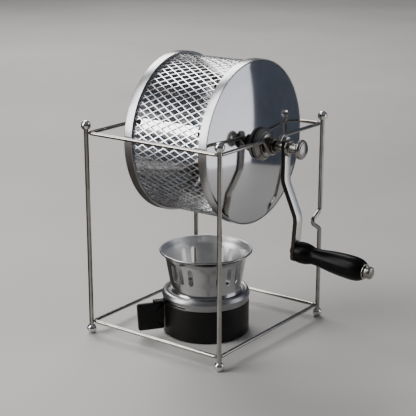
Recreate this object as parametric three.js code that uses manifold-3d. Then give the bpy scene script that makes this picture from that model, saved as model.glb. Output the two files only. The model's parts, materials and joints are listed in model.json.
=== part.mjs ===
import * as THREE from 'three';
import { mergeVertices } from 'three/addons/utils/BufferGeometryUtils.js';
import Module from 'manifold-3d';

// A mesh drum turned by a hand crank, hung in a wire stand over a spirit burner.
// Millimetres, +Z up, standing on z = 0. The crank points to +X and the front is -Y.
// The origin lies under the middle of the whole object's box.

// Fits
const gap = 0.3; // between pieces that touch
const runningGap = 0.4; // between pieces that turn or slide on each other
const overrun = 2; // how far a cut runs past the face that it opens

// Facets
const wireSides = 8;
const bendStep = Math.PI / 9;
const ballSides = 12;
const ballRimSteps = 2; // from the rim of its socket to its equator
const ballCapSteps = 4; // from its equator to its far end
const turnedSides = 36;
const hubSides = 24;
const gripSides = 20;
const smallSides = 16;
const pinSides = 12;
const gripPoints = 15;
const rollSteps = 5;
const blockSteps = 8;
const arcSegments = 1; // pairs of segments per quarter turn of a flat outline

// Stand
const postDiameter = 4;
const ballDiameter = 8.8;
const footGrind = 0.2; // ground off each foot ball
const socketDepth = 3; // how far a post enters its balls
const railDiameter = 3.2;
const railCornerBend = 5;
const railStub = 3; // straight wire of a side rail past its corner
const railClearance = 4.16; // from the drum to the wire in front of it and behind it
const topRingDrop = 7; // below the upper balls' centres
const bottomRingRise = 7.2; // above the foot balls' centres
const cradleDepth = 13.3; // from the ring's centre line to the bottom of the dip
const cradleFlankAngle = THREE.MathUtils.degToRad(50);
const cradleShoulderBend = 4;
const kinkHeight = 93; // from the foot ball's centre to the kink's tip
const kinkDepth = 16; // from the post's line to the tip's corner, before the bend rounds it
const kinkRise = 8;
const kinkFall = 10;
const kinkTipBend = 4;
const kinkEndBend = 4;

// Drum
const drumDiameter = 144.6;
const drumLength = 87.1;
const drumOffsetX = 9.25; // of the drum's middle from the stand's middle
const flameGap = 31.1; // from the cup's lip to the drum
const bandWidth = 8;
const bandThickness = 2.2;
const bandLip = 1.1; // how far the bands stand out past the discs' edges, all round
const meshThickness = 1.2;
const meshStrand = 2.4;
const meshRows = 5; // whole diamonds along the drum
const meshColumns = 24; // diamonds round the drum
const meshPanels = 4;
const discThickness = 1;
const discDome = 6;
const discRings = 3;
const vaneCount = 4;
const vaneFirstAngle = THREE.MathUtils.degToRad(164); // from the rear over the top
const vaneLength = 61;
const vaneFoot = 9.3;
const vaneDepth = 14;
const vaneSheet = 0.8;

// Hatch in the drum's wall
const hatchAngle = THREE.MathUtils.degToRad(299);
const hatchMargin = 17.55; // from the drum's ends to the hatch
const hatchWidth = 44; // round the drum
const hatchBorder = 4;
const hatchFrameBorder = 6;
const hatchProud = 0.2; // how far the borders stand proud of the mesh on both sides
const hatchPinDiameter = 1.8;
const hatchBarrelDiameter = 4.2;
const hatchBarrelRise = 2.4; // of the pin over the hatch's outer face
const hatchBarrelLength = 10;
const hatchWeb = 1.4;
const hatchTabWidth = 14;
const hatchTabRise = 4;

// Shaft, hubs and bearings
const shaftDiameter = 6;
const hubDiameter = 28.8;
const hubLength = 8.3;
const hubFlange = 5.8;
const hubBevel = 2.6;
const hubBossDiameter = 20;
const bushSeatDiameter = 10.8;
const bushFlangeDiameter = 14;
const bushFlange = 1.2;
const bushEndPlay = 0.4; // on each side of the cradle wire
const collarLength = 4.5;
const collarDiameter = 11;
const shaftTail = 1.6; // past the left bush
const sleeveDiameter = 9;

// Crank
const crankGap = 8.4; // from the right bush to the arm, filled by the sleeve
const crankThickness = 4;
const crankWidth = 10;
const crankReach = 90; // from the shaft to the grip pin, measured down
const crankOffset = 13.4; // outward step of the arm
const crankBendDrop = 29.2; // from the shaft to the arm's first bend
const crankBendLength = 31;
const crankBend = 16;
const crankEnd = 9.5; // past the shaft and past the pin
const crankReturn = 2.19; // how far the lower part comes back in on its way to the pin
const knobFlangeDiameter = 15;
const knobFlangeLength = 2.6;
const knobNeckDiameter = 9;
const knobNeckLength = 10.6; // with its flange
const knobDiameter = 17.4;
const knobThickness = 5.8;
const knobDome = 1.4;

// Grip
const gripLength = 66;
const gripDiameter = 20.4;
const gripPinDiameter = 5.2;
const gripRivetDiameter = 9;
const gripRivetHeight = 1.6;
const gripWasherDiameter = 13.2;
const gripWasherThickness = 1;
const gripHeadDiameter = 10.6;
const gripHeadLength = 5.5;
const gripHeadEdge = 0.9;
const gripLengthShares = [0, 0.02, 0.1, 0.18, 0.26, 0.38, 0.53, 0.68, 0.8, 0.88, 0.94, 0.985, 1];
const gripRadiusShares = [0.78, 0.88, 0.92, 0.85, 0.72, 0.77, 0.9, 0.975, 1, 0.985, 0.91, 0.77, 0.66];

// Burner
const burnerOffsetX = 5.7; // from the stand's middle
const burnerOffsetY = -8.6;
const baseDiameter = 79.2;
const baseHeight = 30.3;
const baseWall = 1.6;
const baseFloor = 2;
const baseEdge = 1.6;
const potClearance = 3; // from the base's wall
const potWall = 1;
const gauzeDrop = 6.9; // from the pot's rim to the gauze
const gauzeThickness = 0.8;
const coverSkirt = 5; // straight part of the cover's wall
const coverBulge = 0.8; // how far its roll stands out past the base
const coverRoll = 3.4; // height of the roll above the skirt
const coverCrown = 1.6; // height of the crown above the ledge
const coverSheet = 1;
const coverRim = 5.5; // from the base's outside to the ledge
const coverLedgeWidth = 7.6;
const coverWellDepth = 4.4;
const coverMouthDiameter = 24;
const portCount = 4;
const portMargin = 2.25; // from a port to the mouth and to the well's wall
const slotHeight = 2.2;
const slotStart = THREE.MathUtils.degToRad(-132.4);
const slotSpan = THREE.MathUtils.degToRad(51);
const leverSheet = 1.2;
const leverWidth = 7;
const leverLegWidth = 9.6;
const leverDrop = 18;
const leverAngle = THREE.MathUtils.degToRad(-125);
const paddleLength = 25.4;
const paddleHeight = 25.6;
const paddleThickness = 3.4;
const paddleCorner = 2.5;
const paddleSlant = 1.4; // how much further out its upper corner lies
const paddleClearance = 0.8; // from the base's wall
const paddleDrop = 0.7; // of its top edge below the lever

// Cup
const cupFootClearance = 0.6; // from the cover's crown
const cupFootFlange = 1.2; // past the neck
const cupTaper = 4.5; // from the neck out to the throat, where the lip starts to flare
const cupLipFlare = 5.6; // past the throat
const cupFootHeight = 5;
const cupWallHeight = 25.5; // from the neck to the throat
const cupLipHeight = 7.1;
const cupWall = 0.8;
const cupRoll = 0.9; // radius of the rolled lip
const cupFlareShare = 0.4; // of the lip's flare, reached at half its height
const cupSlotWidth = 4.6;
const cupSlotHeight = 16.4;
const cupSlotDrop = 1.4; // from the throat to the slots
const cupSlotStep = THREE.MathUtils.degToRad(16.3);
// Groups of slots round the cup, each by how many slots it has and the angle of its middle.
// Those at the front have three, those at the rear two.
const cupSlotGroups = [
  [3, THREE.MathUtils.degToRad(-92.7)],
  [3, THREE.MathUtils.degToRad(-18)],
  [2, THREE.MathUtils.degToRad(93.5)],
  [2, THREE.MathUtils.degToRad(154.2)],
];

const wasm = await Module();
wasm.setup();

// Colours
const polishedSteel = { color: 0xc9c9c6, roughness: 0.12, metalness: 1 };
const wireSteel = { color: 0xa8a6a2, roughness: 0.22, metalness: 1 };
const brightMesh = { color: 0xc4c5c6, roughness: 0.35, metalness: 1 };
const satinSteel = { color: 0x9d9d9b, roughness: 0.4, metalness: 1 };
const spunMetal = { color: 0xb4b4b3, roughness: 0.32, metalness: 1 };
const bronze = { color: 0x8a6a40, roughness: 0.45, metalness: 1 };
const blackEnamel = { color: 0x131110, roughness: 0.45, metalness: 0 };
const blackGloss = { color: 0x0a0a0b, roughness: 0.15, metalness: 0 };
const whiteFibre = { color: 0xd9d4c8, roughness: 0.95, metalness: 0 };

function piece(name, geometry, finish) {
  const mesh = new THREE.Mesh(geometry, new THREE.MeshStandardMaterial(finish));
  mesh.name = name;
  return mesh;
}

// Solids for cutting and joining
function toSolid(geometry) {
  const bare = geometry.clone();
  bare.deleteAttribute('normal');
  bare.deleteAttribute('uv');
  const welded = mergeVertices(bare);
  const corners = welded.index.array;
  const triVerts = [];
  for (let i = 0; i < corners.length; i += 3) {
    const [a, b, c] = [corners[i], corners[i + 1], corners[i + 2]];
    if (a !== b && b !== c && c !== a) triVerts.push(a, b, c);
  }
  return new wasm.Manifold(new wasm.Mesh({
    numProp: 3,
    vertProperties: welded.attributes.position.array,
    triVerts: Uint32Array.from(triVerts),
  }));
}

function toGeometry(solid) {
  const mesh = solid.getMesh();
  const geometry = new THREE.BufferGeometry();
  geometry.setAttribute('position', new THREE.BufferAttribute(mesh.vertProperties, 3));
  geometry.setIndex(new THREE.BufferAttribute(mesh.triVerts, 1));
  geometry.computeVertexNormals();
  return geometry;
}

function cut(geometry, ...tools) {
  return toGeometry(tools.reduce((rest, tool) => rest.subtract(toSolid(tool)), toSolid(geometry)));
}

function join(geometry, ...others) {
  return toGeometry(others.reduce((whole, other) => whole.add(toSolid(other)), toSolid(geometry)));
}

// Turned pieces. A profile is a list of [radius, distance along the axis].
function turned(profile, sides = turnedSides) {
  const points = profile.map(([radius, along]) => new THREE.Vector2(radius, along));
  if (THREE.ShapeUtils.area(points) < 0) points.reverse();
  if (points[0].x > 0 || points.at(-1).x > 0) points.push(points[0].clone());
  return new THREE.LatheGeometry(points, sides);
}

const turnedUpright = (profile, sides) => turned(profile, sides).rotateX(Math.PI / 2);
const turnedAcross = (profile, sides) => turned(profile, sides).rotateZ(-Math.PI / 2);

// A plain bar or tube between two places on its axis, as a profile
function bar(radius, from, to) {
  return [[0, from], [radius, from], [radius, to], [0, to]];
}

function tube(inner, outer, from, to) {
  return [[inner, from], [outer, from], [outer, to], [inner, to]];
}

function arcProfile(radius, fromAngle, toAngle, steps, centre) {
  return Array.from({ length: steps + 1 }, (_, i) => {
    const angle = fromAngle + (toAngle - fromAngle) * i / steps;
    return [centre[0] + radius * Math.cos(angle), centre[1] + radius * Math.sin(angle)];
  });
}

// Wire that follows listed points, with a mitred ring of the section at each
class WireRoute extends THREE.Curve {
  constructor(points) {
    super();
    this.points = points;
  }

  getPoint(t, target = new THREE.Vector3()) {
    const along = t * (this.points.length - 1);
    const i = Math.min(Math.floor(along), this.points.length - 2);
    return target.lerpVectors(this.points[i], this.points[i + 1], along - i);
  }

  getTangent(t, target = new THREE.Vector3()) {
    const i = Math.round(t * (this.points.length - 1));
    const here = this.points[i];
    const before = this.points[Math.max(i - 1, 0)];
    const after = this.points[Math.min(i + 1, this.points.length - 1)];
    const arriving = here.clone().sub(before).normalize();
    const leaving = after.clone().sub(here).normalize();
    return target.copy(arriving).add(leaving).normalize();
  }

  getUtoTmapping(u) {
    return u;
  }
}

// Points along a wire that runs straight between corners and turns inner ones at a bend radius
function bentPoints(corners) {
  const points = [corners[0].at];
  for (let i = 1; i < corners.length - 1; i++) {
    const { at, bend } = corners[i];
    const back = corners[i - 1].at.clone().sub(at).normalize();
    const ahead = corners[i + 1].at.clone().sub(at).normalize();
    const half = back.angleTo(ahead) / 2;
    const turn = Math.PI - 2 * half;
    const setback = bend / Math.tan(half);
    const centre = back.clone().add(ahead).setLength(bend / Math.sin(half)).add(at);
    const from = back.multiplyScalar(setback).add(at).sub(centre);
    const to = ahead.multiplyScalar(setback).add(at).sub(centre);
    const steps = Math.ceil(turn / bendStep);
    for (let k = 0; k <= steps; k++) {
      const share = k / steps;
      const start = from.clone().multiplyScalar(Math.sin((1 - share) * turn) / Math.sin(turn));
      const end = to.clone().multiplyScalar(Math.sin(share * turn) / Math.sin(turn));
      points.push(start.add(end).add(centre));
    }
  }
  points.push(corners.at(-1).at);
  return points;
}

function wire(diameter, corners) {
  const points = bentPoints(corners);
  const section = new THREE.Shape(Array.from({ length: wireSides }, (_, i) => {
    const angle = 2 * Math.PI * i / wireSides;
    return new THREE.Vector2(Math.cos(angle), Math.sin(angle)).multiplyScalar(diameter / 2);
  }));
  return new THREE.ExtrudeGeometry(section, {
    steps: points.length - 1,
    extrudePath: new WireRoute(points),
  });
}

const corner = (x, y, z, bend) => ({ at: new THREE.Vector3(x, y, z), bend });

// A flat outline extruded by a length, its middle on z = 0
function plate(outline, length) {
  const geometry = new THREE.ExtrudeGeometry(outline, {
    depth: length,
    bevelEnabled: false,
    curveSegments: arcSegments,
  });
  return geometry.translate(0, 0, -length / 2);
}

function roundedRectangle(left, bottom, right, top, radius) {
  const shape = new THREE.Shape();
  shape.moveTo(left + radius, bottom);
  shape.absarc(right - radius, bottom + radius, radius, -Math.PI / 2, 0);
  shape.absarc(right - radius, top - radius, radius, 0, Math.PI / 2);
  shape.absarc(left + radius, top - radius, radius, Math.PI / 2, Math.PI);
  shape.absarc(left + radius, bottom + radius, radius, Math.PI, 1.5 * Math.PI);
  return shape;
}

// Radii
const postRadius = postDiameter / 2;
const railRadius = railDiameter / 2;
const ballRadius = ballDiameter / 2;
const drumRadius = drumDiameter / 2;
const discRadius = drumRadius - bandLip;
const bushSeatRadius = bushSeatDiameter / 2;
const baseRadius = baseDiameter / 2;
const baseInner = baseRadius - baseWall;
const potRadius = baseInner - potClearance;
const ledgeRadius = baseRadius - coverRim;
const wellRadius = ledgeRadius - coverLedgeWidth;

// Heights from the table up: the burner, the flame, the drum, the cradle that its bushes sit in, the balls
const coverBottom = baseHeight + gap;
const coverRollZ = coverBottom + coverSkirt;
const coverLedgeZ = coverRollZ + coverRoll;
const cupBottom = coverLedgeZ + gap;
const cupTop = cupBottom + cupFootHeight + cupWallHeight + cupLipHeight + cupRoll;
const drumAxisZ = cupTop + flameGap + drumRadius;
const cradleBend = bushSeatRadius + gap + railRadius;
const topRingZ = drumAxisZ + cradleDepth - cradleBend;
const topBallZ = topRingZ + topRingDrop;
const footBallZ = ballRadius - footGrind;
const bottomRingZ = footBallZ + bottomRingRise;

// Places along the drum's axis, from the drum's ends out to the stand's sides
const drumRight = drumOffsetX + drumLength / 2;
const drumLeft = drumOffsetX - drumLength / 2;
const bushHalf = railRadius + bushEndPlay + bushFlange;
const hubRightStart = drumRight + discDome + gap;
const hubLeftStart = drumLeft - discDome - gap;
const bushX = hubRightStart + hubLength + gap + bushHalf;
const crankInner = bushX + bushHalf + crankGap;
const crankMiddle = crankInner + crankThickness / 2;
const knobStart = crankInner + crankThickness + gap;
const shaftEnd = knobStart + knobNeckLength;
const shaftStart = -bushX - bushHalf - shaftTail;

// Stand. The rings' corner bends touch the posts on their inner side.
const ringX = bushX;
const ringY = drumRadius + railClearance + railRadius;
const railCornerInset = (railCornerBend + railRadius + gap + postRadius) / Math.SQRT2;
const postX = ringX - railCornerBend + railCornerInset;
const postY = ringY - railCornerBend + railCornerInset;
const stubEndX = ringX - railCornerBend - railStub;

// A ball with a socket for the post at its lower end and a cap that runs up to an angle
function ballSolid(capAngle) {
  const socketRadius = postRadius + gap;
  const socketZ = socketDepth - ballRadius + gap;
  const rimAngle = -Math.acos(socketRadius / ballRadius);
  return turnedUpright([
    [0, socketZ],
    [socketRadius, socketZ],
    ...arcProfile(ballRadius, rimAngle, 0, ballRimSteps, [0, 0]),
    ...arcProfile(ballRadius, 0, capAngle, ballCapSteps, [0, 0]).slice(1, -1),
    ...(capAngle < Math.PI / 2 ? [[ballRadius * Math.cos(capAngle), ballRadius * Math.sin(capAngle)]] : []),
    [0, ballRadius * Math.sin(capAngle)],
  ], ballSides);
}

const topBall = () => ballSolid(Math.PI / 2);
const footBall = () => ballSolid(Math.asin(footBallZ / ballRadius)).rotateX(Math.PI);

const postEnd = ballRadius - socketDepth; // from a ball's centre to the post's end inside it
const postBottom = footBallZ + postEnd;
const postTop = topBallZ - postEnd;

function straightPost() {
  return turnedUpright(bar(postRadius, postBottom, postTop), wireSides);
}

function kinkedPost() {
  const tipZ = footBallZ + kinkHeight;
  return wire(postDiameter, [
    corner(0, 0, postBottom),
    corner(0, 0, tipZ - kinkFall, kinkEndBend),
    corner(0, -kinkDepth, tipZ, kinkTipBend),
    corner(0, 0, tipZ + kinkRise, kinkEndBend),
    corner(0, 0, postTop),
  ]);
}

function cradleRail() {
  const dipZ = drumAxisZ - topRingZ - cradleBend / Math.cos(cradleFlankAngle);
  const shoulderY = -dipZ / Math.tan(cradleFlankAngle);
  return wire(railDiameter, [
    corner(stubEndX - ringX, -ringY, 0),
    corner(0, -ringY, 0, railCornerBend),
    corner(0, -shoulderY, 0, cradleShoulderBend),
    corner(0, 0, dipZ, cradleBend),
    corner(0, shoulderY, 0, cradleShoulderBend),
    corner(0, ringY, 0, railCornerBend),
    corner(stubEndX - ringX, ringY, 0),
  ]);
}

function plainSideRail() {
  return wire(railDiameter, [
    corner(stubEndX - ringX, -ringY, 0),
    corner(0, -ringY, 0, railCornerBend),
    corner(0, ringY, 0, railCornerBend),
    corner(stubEndX - ringX, ringY, 0),
  ]);
}

function crossRail() {
  return turnedAcross(bar(railRadius, gap - stubEndX, stubEndX - gap), wireSides);
}

function makeStand() {
  const stand = new THREE.Group();
  const corners = [
    ['front_left', -1, -1],
    ['front_right', 1, -1],
    ['rear_right', 1, 1],
    ['rear_left', -1, 1],
  ];
  for (const [place, sideX, sideY] of corners) {
    const post = piece(`post_${place}`, place === 'rear_right' ? kinkedPost() : straightPost(), wireSteel);
    const top = piece(`top_ball_${place}`, topBall(), polishedSteel);
    const foot = piece(`foot_ball_${place}`, footBall(), polishedSteel);
    top.position.z = topBallZ;
    foot.position.z = footBallZ;
    const set = new THREE.Group();
    set.add(post, top, foot);
    set.position.set(sideX * postX, sideY * postY, 0);
    stand.add(set);
  }
  for (const [place, side] of [['left', -1], ['right', 1]]) {
    const cradle = piece(`cradle_rail_${place}`, cradleRail(), wireSteel);
    const bottom = piece(`bottom_rail_${place}`, plainSideRail(), wireSteel);
    cradle.position.set(side * ringX, 0, topRingZ);
    bottom.position.set(side * ringX, 0, bottomRingZ);
    if (side < 0) cradle.rotation.z = Math.PI;
    if (side < 0) bottom.rotation.z = Math.PI;
    stand.add(cradle, bottom);
  }
  for (const [place, side] of [['front', -1], ['rear', 1]]) {
    const top = piece(`top_rail_${place}`, crossRail(), wireSteel);
    const bottom = piece(`bottom_rail_${place}`, crossRail(), wireSteel);
    top.position.set(0, side * ringY, topRingZ);
    bottom.position.set(0, side * ringY, bottomRingZ);
    stand.add(top, bottom);
  }
  return stand;
}

// Drum, in a frame whose X axis is the shaft and whose origin is in the stand's middle
const meshOuter = drumRadius - bandThickness - gap;
const meshInner = meshOuter - meshThickness;
const meshRight = drumRight - discThickness - gap;
const meshLeft = drumLeft + discThickness + gap;
const drumSides = 2 * meshColumns;

// Places round the drum: the angle runs from the rear (+Y) over the top.
function around(x, radius, angle) {
  return [x, radius * Math.cos(angle), radius * Math.sin(angle)];
}

// The wall is a net of diamonds. Each diamond is a hole, drawn in from its neighbours by half a strand,
// and the rows at both ends are half diamonds that stay solid under the bands.
function meshWall() {
  const halfRows = 2 * meshRows;
  const halfPitch = (meshRight - meshLeft) / halfRows;
  const halfAngle = Math.PI / meshColumns;
  const halfWide = meshOuter * halfAngle;
  const inset = halfPitch * halfWide / Math.hypot(halfPitch, halfWide);
  const open = 1 - meshStrand / 2 / inset;
  const positions = [];
  const triangles = [];
  const places = new Map();
  const vertex = (row, column, side, layer) => {
    const wrapped = (column + drumSides) % drumSides;
    const key = `${row} ${wrapped} ${side} ${layer}`;
    if (places.has(key)) return places.get(key);
    const x = meshLeft + halfPitch * (row + open * [1, 0, -1, 0][side]);
    const angle = halfAngle * (wrapped + open * [0, 1, 0, -1][side]);
    positions.push(...around(x, layer ? meshOuter : meshInner, angle));
    places.set(key, places.size);
    return places.size - 1;
  };
  const face = (corners) => {
    for (const layer of [0, 1]) {
      const [first, ...rest] = corners.map(([row, column, side]) => vertex(row, column, side, layer));
      for (let i = 0; i < rest.length - 1; i++) {
        triangles.push(...(layer ? [first, rest[i + 1], rest[i]] : [first, rest[i], rest[i + 1]]));
      }
    }
  };
  const wall = (from, to) => {
    const [a, b] = [vertex(...from, 0), vertex(...to, 0)];
    const [c, d] = [vertex(...to, 1), vertex(...from, 1)];
    triangles.push(b, a, d, b, d, c);
  };
  for (let row = 0; row <= halfRows; row++) {
    for (let column = row % 2; column < drumSides; column += 2) {
      const hole = [0, 1, 2, 3].map((side) => [row, column, side]);
      if (row === 0) {
        face([hole[0], hole[1], hole[3]]);
        wall(hole[1], hole[3]);
      } else if (row === halfRows) {
        face([hole[2], hole[3], hole[1]]);
        wall(hole[3], hole[1]);
      } else {
        hole.forEach((from, side) => wall(from, hole[(side + 3) % 4]));
      }
      // Strands to the two diamonds further along
      if (row < halfRows) {
        face([hole[1], hole[0], [row + 1, column + 1, 3], [row + 1, column + 1, 2]]);
        face([hole[0], hole[3], [row + 1, column - 1, 2], [row + 1, column - 1, 1]]);
      }
    }
  }
  // Knots, where four strands meet
  for (let row = 0; row <= halfRows; row++) {
    for (let column = (row + 1) % 2; column < drumSides; column += 2) {
      const [up, down] = [[row, column + 1, 3], [row, column - 1, 1]];
      const [ahead, behind] = [[row + 1, column, 2], [row - 1, column, 0]];
      if (row === 0) {
        face([ahead, up, down]);
        wall(up, down);
      } else if (row === halfRows) {
        face([up, behind, down]);
        wall(down, up);
      } else {
        face([ahead, up, behind, down]);
      }
    }
  }
  const geometry = new THREE.BufferGeometry();
  geometry.setAttribute('position', new THREE.Float32BufferAttribute(positions, 3));
  geometry.setIndex(triangles);
  geometry.computeVertexNormals();
  return geometry;
}

// A curved block of the drum's wall to both sides of an angle, between two radii
function wallBlock(middle, from, to, halfAngle, halfLength) {
  const outline = new THREE.Shape();
  const spread = (radius, share) => {
    const angle = middle + halfAngle * (2 * share - 1);
    return new THREE.Vector2(radius * Math.cos(angle), radius * Math.sin(angle));
  };
  const shares = Array.from({ length: blockSteps + 1 }, (_, i) => i / blockSteps);
  outline.setFromPoints([
    ...shares.map((share) => spread(to, share)),
    ...shares.map((share) => spread(from, 1 - share)),
  ]);
  const block = plate(outline, 2 * halfLength).rotateY(Math.PI / 2).rotateX(Math.PI / 2);
  return toSolid(block.translate(drumOffsetX, 0, 0));
}

const hatchHalfAngle = hatchWidth / 2 / meshOuter;
const hatchFrameHalfAngle = hatchHalfAngle + (gap + hatchFrameBorder) / meshOuter;
const hatchOuter = meshOuter + hatchProud;
const hatchInner = meshInner - hatchProud;
const hatchPinRadius = hatchPinDiameter / 2;
const hatchBarrelRadius = hatchBarrelDiameter / 2;
const hatchPinPlace = hatchOuter + hatchBarrelRise;
const hatchPinAngle = hatchAngle + hatchHalfAngle + gap / 2 / meshOuter;
const hatchHalfLength = drumLength / 2 - hatchMargin;
const hatchFrameHalfLength = hatchHalfLength + gap + hatchFrameBorder;
const hatchBarrelHalf = hatchBarrelLength / 2;
const frameBarrelPlace = hatchHalfLength + gap - hatchBarrelHalf;
const doorBarrelPlace = frameBarrelPlace - hatchBarrelLength - gap;

// A block round the hatch, widened all round by an extra margin
function hatchPart(from, to, halfAngle, halfLength, extra = 0) {
  return wallBlock(hatchAngle, from, to, halfAngle + extra / meshOuter, halfLength + extra);
}

// The net is made of equal panels. Their seams run along lines of knots, the first just past the hatch.
function meshPanel(wall, index) {
  const halfDiamond = Math.PI / meshColumns;
  const firstSeam = halfDiamond * Math.ceil((hatchAngle + hatchFrameHalfAngle) / halfDiamond);
  const panelAngle = 2 * Math.PI / meshPanels;
  const middle = firstSeam + panelAngle * (index + 1 / 2);
  const halfAngle = (panelAngle - gap / meshOuter) / 2;
  const from = meshInner - overrun;
  const to = meshOuter + overrun;
  return wall.intersect(wallBlock(middle, from, to, halfAngle, drumLength / 2 + overrun));
}

// A barrel round the hatch pin, with a web down to the door (side -1) or the frame (side 1)
function hatchBarrel(x, side) {
  const profile = bar(hatchBarrelRadius, x - hatchBarrelHalf, x + hatchBarrelHalf);
  const barrel = turnedAcross(profile, pinSides);
  const [, y, z] = around(0, hatchPinPlace, hatchPinAngle);
  barrel.translate(0, y, z);
  const reach = hatchBarrelRise + hatchProud;
  const web = new THREE.BoxGeometry(hatchBarrelLength, hatchWeb, reach);
  web.translate(0, -side * (hatchBarrelRadius - hatchWeb / 2), hatchPinPlace - reach / 2);
  web.rotateX(hatchPinAngle - Math.PI / 2).translate(x, 0, 0);
  return [toSolid(barrel), toSolid(web)];
}

function hatchBore() {
  const [, y, z] = around(0, hatchPinPlace, hatchPinAngle);
  const reach = hatchHalfLength + overrun;
  const bore = turnedAcross(bar(hatchPinRadius + gap, drumOffsetX - reach, drumOffsetX + reach), pinSides);
  return toSolid(bore.translate(0, y, z));
}

function makeHatch(wall) {
  const door = piece('hatch_door', toGeometry(doorSolid(wall)), brightMesh);
  const frame = piece('hatch_frame', toGeometry(frameSolid()), satinSteel);
  return [door, frame, hatchPin()];
}

function doorSolid(wall) {
  const from = hatchInner - overrun;
  const to = hatchOuter + overrun;
  const leaf = hatchPart(from, to, hatchHalfAngle, hatchHalfLength);
  const outer = hatchPart(hatchInner, hatchOuter, hatchHalfAngle, hatchHalfLength);
  const inner = hatchPart(from, to, hatchHalfAngle, hatchHalfLength, -hatchBorder);
  const tabAngle = hatchAngle - hatchHalfAngle + hatchWeb / meshOuter;
  const tab = new THREE.BoxGeometry(hatchTabWidth, hatchWeb, hatchTabRise + hatchProud);
  tab.translate(0, 0, hatchOuter + (hatchTabRise - hatchProud) / 2);
  tab.rotateX(tabAngle - Math.PI / 2).translate(drumOffsetX, 0, 0);
  let door = wall.intersect(leaf).add(outer.subtract(inner)).add(toSolid(tab));
  for (const place of [-doorBarrelPlace, doorBarrelPlace]) {
    for (const part of hatchBarrel(drumOffsetX + place, -1)) door = door.add(part);
  }
  return door.subtract(hatchBore());
}

function frameSolid() {
  const from = hatchInner - overrun;
  const to = hatchOuter + overrun;
  const outer = hatchPart(hatchInner, hatchOuter, hatchFrameHalfAngle, hatchFrameHalfLength);
  const inner = hatchPart(from, to, hatchHalfAngle, hatchHalfLength, gap);
  let frame = outer.subtract(inner);
  for (const place of [-frameBarrelPlace, frameBarrelPlace]) {
    for (const part of hatchBarrel(drumOffsetX + place, 1)) frame = frame.add(part);
  }
  return frame.subtract(hatchBore());
}

function hatchPin() {
  const pin = turnedAcross(bar(hatchPinRadius, -hatchHalfLength - gap, hatchHalfLength + gap), pinSides);
  const mesh = piece('hatch_pin', pin, polishedSteel);
  mesh.position.set(...around(drumOffsetX, hatchPinPlace, hatchPinAngle));
  return mesh;
}

function band(side) {
  const outside = side > 0 ? drumRight - discThickness - gap : drumLeft + discThickness + gap;
  const inside = outside - side * (bandWidth - discThickness - gap);
  return turnedAcross(tube(drumRadius - bandThickness, drumRadius, inside, outside), drumSides);
}

// The discs bulge outward and are pierced for the shaft.
const boreRadius = shaftDiameter / 2 + gap;

function discPoint(radius, depth) {
  const share = radius / discRadius;
  return [radius, discDome * (1 - share * share) - depth];
}

function domedDisc(side) {
  const radii = Array.from({ length: discRings + 1 }, (_, i) => (
    boreRadius + (discRadius - boreRadius) * i / discRings
  ));
  const outline = [
    ...radii.map((radius) => discPoint(radius, discThickness)),
    ...radii.reverse().map((radius) => discPoint(radius, 0)),
  ];
  const disc = turnedAcross(outline, drumSides);
  if (side < 0) disc.rotateZ(Math.PI);
  return disc.translate(side > 0 ? drumRight : drumLeft, 0, 0);
}

function vane(angle) {
  const half = vaneFoot / 2;
  const seat = Math.sqrt((meshInner - gap) ** 2 - half ** 2);
  const outline = new THREE.Shape([
    new THREE.Vector2(-half, seat),
    new THREE.Vector2(-half, seat - vaneDepth),
    new THREE.Vector2(vaneSheet - half, seat - vaneDepth),
    new THREE.Vector2(vaneSheet - half, seat - vaneSheet),
    new THREE.Vector2(half, seat - vaneSheet),
    new THREE.Vector2(half, seat),
  ]);
  const geometry = plate(outline, vaneLength).rotateY(Math.PI / 2).rotateX(Math.PI / 2);
  return geometry.rotateX(angle - Math.PI / 2).translate(drumOffsetX, 0, 0);
}

function hub() {
  const bossRadius = hubBossDiameter / 2;
  const flangeRadius = hubDiameter / 2;
  const noseRadius = bushSeatRadius;
  return turnedAcross([
    [boreRadius, 0],
    [flangeRadius, 0],
    [flangeRadius, hubFlange - hubBevel],
    [flangeRadius - hubBevel, hubFlange],
    [bossRadius, hubFlange],
    [noseRadius, hubLength],
    [boreRadius, hubLength],
  ], hubSides);
}

function bush() {
  const bore = shaftDiameter / 2 + runningGap;
  const flange = bushFlangeDiameter / 2;
  const seatHalf = bushHalf - bushFlange;
  return turnedAcross([
    [bore, -bushHalf],
    [flange, -bushHalf],
    [flange, -seatHalf],
    [bushSeatRadius, -seatHalf],
    [bushSeatRadius, seatHalf],
    [flange, seatHalf],
    [flange, bushHalf],
    [bore, bushHalf],
  ], smallSides);
}

function knobNut() {
  const flange = knobFlangeDiameter / 2;
  const neck = knobNeckDiameter / 2;
  const radius = knobDiameter / 2;
  const knobEnd = knobNeckLength + knobThickness;
  const rim = (knobThickness - knobDome) / 2;
  return turnedAcross([
    [0, knobNeckLength + gap],
    [boreRadius, knobNeckLength + gap],
    [boreRadius, 0],
    [flange, 0],
    [flange, knobFlangeLength],
    [neck, knobFlangeLength],
    [neck, knobNeckLength - rim / 2],
    [radius - rim, knobNeckLength],
    ...arcProfile(rim, -Math.PI / 2, Math.PI / 2, rollSteps, [radius - rim, knobNeckLength + rim]),
    [radius / 2, knobEnd - knobDome / 3],
    [0, knobEnd],
  ], hubSides);
}

// The arm runs down in the plane y = 0. Its route is measured from the shaft's axis.
const lowBendDrop = crankBendDrop + crankBendLength;
const crankSlope = crankReturn / (crankReach - lowBendDrop); // of the lower part
const crankLeanAngle = Math.atan(crankSlope);
const pinAcross = crankOffset - crankReturn;

function armRoute() {
  const endZ = crankReach + crankEnd;
  return bentPoints([
    corner(0, 0, crankEnd),
    corner(0, 0, -crankBendDrop, crankBend),
    corner(crankOffset, 0, -lowBendDrop, crankBend),
    corner(crankOffset - crankSlope * (endZ - lowBendDrop), 0, -endZ),
  ]);
}

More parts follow.
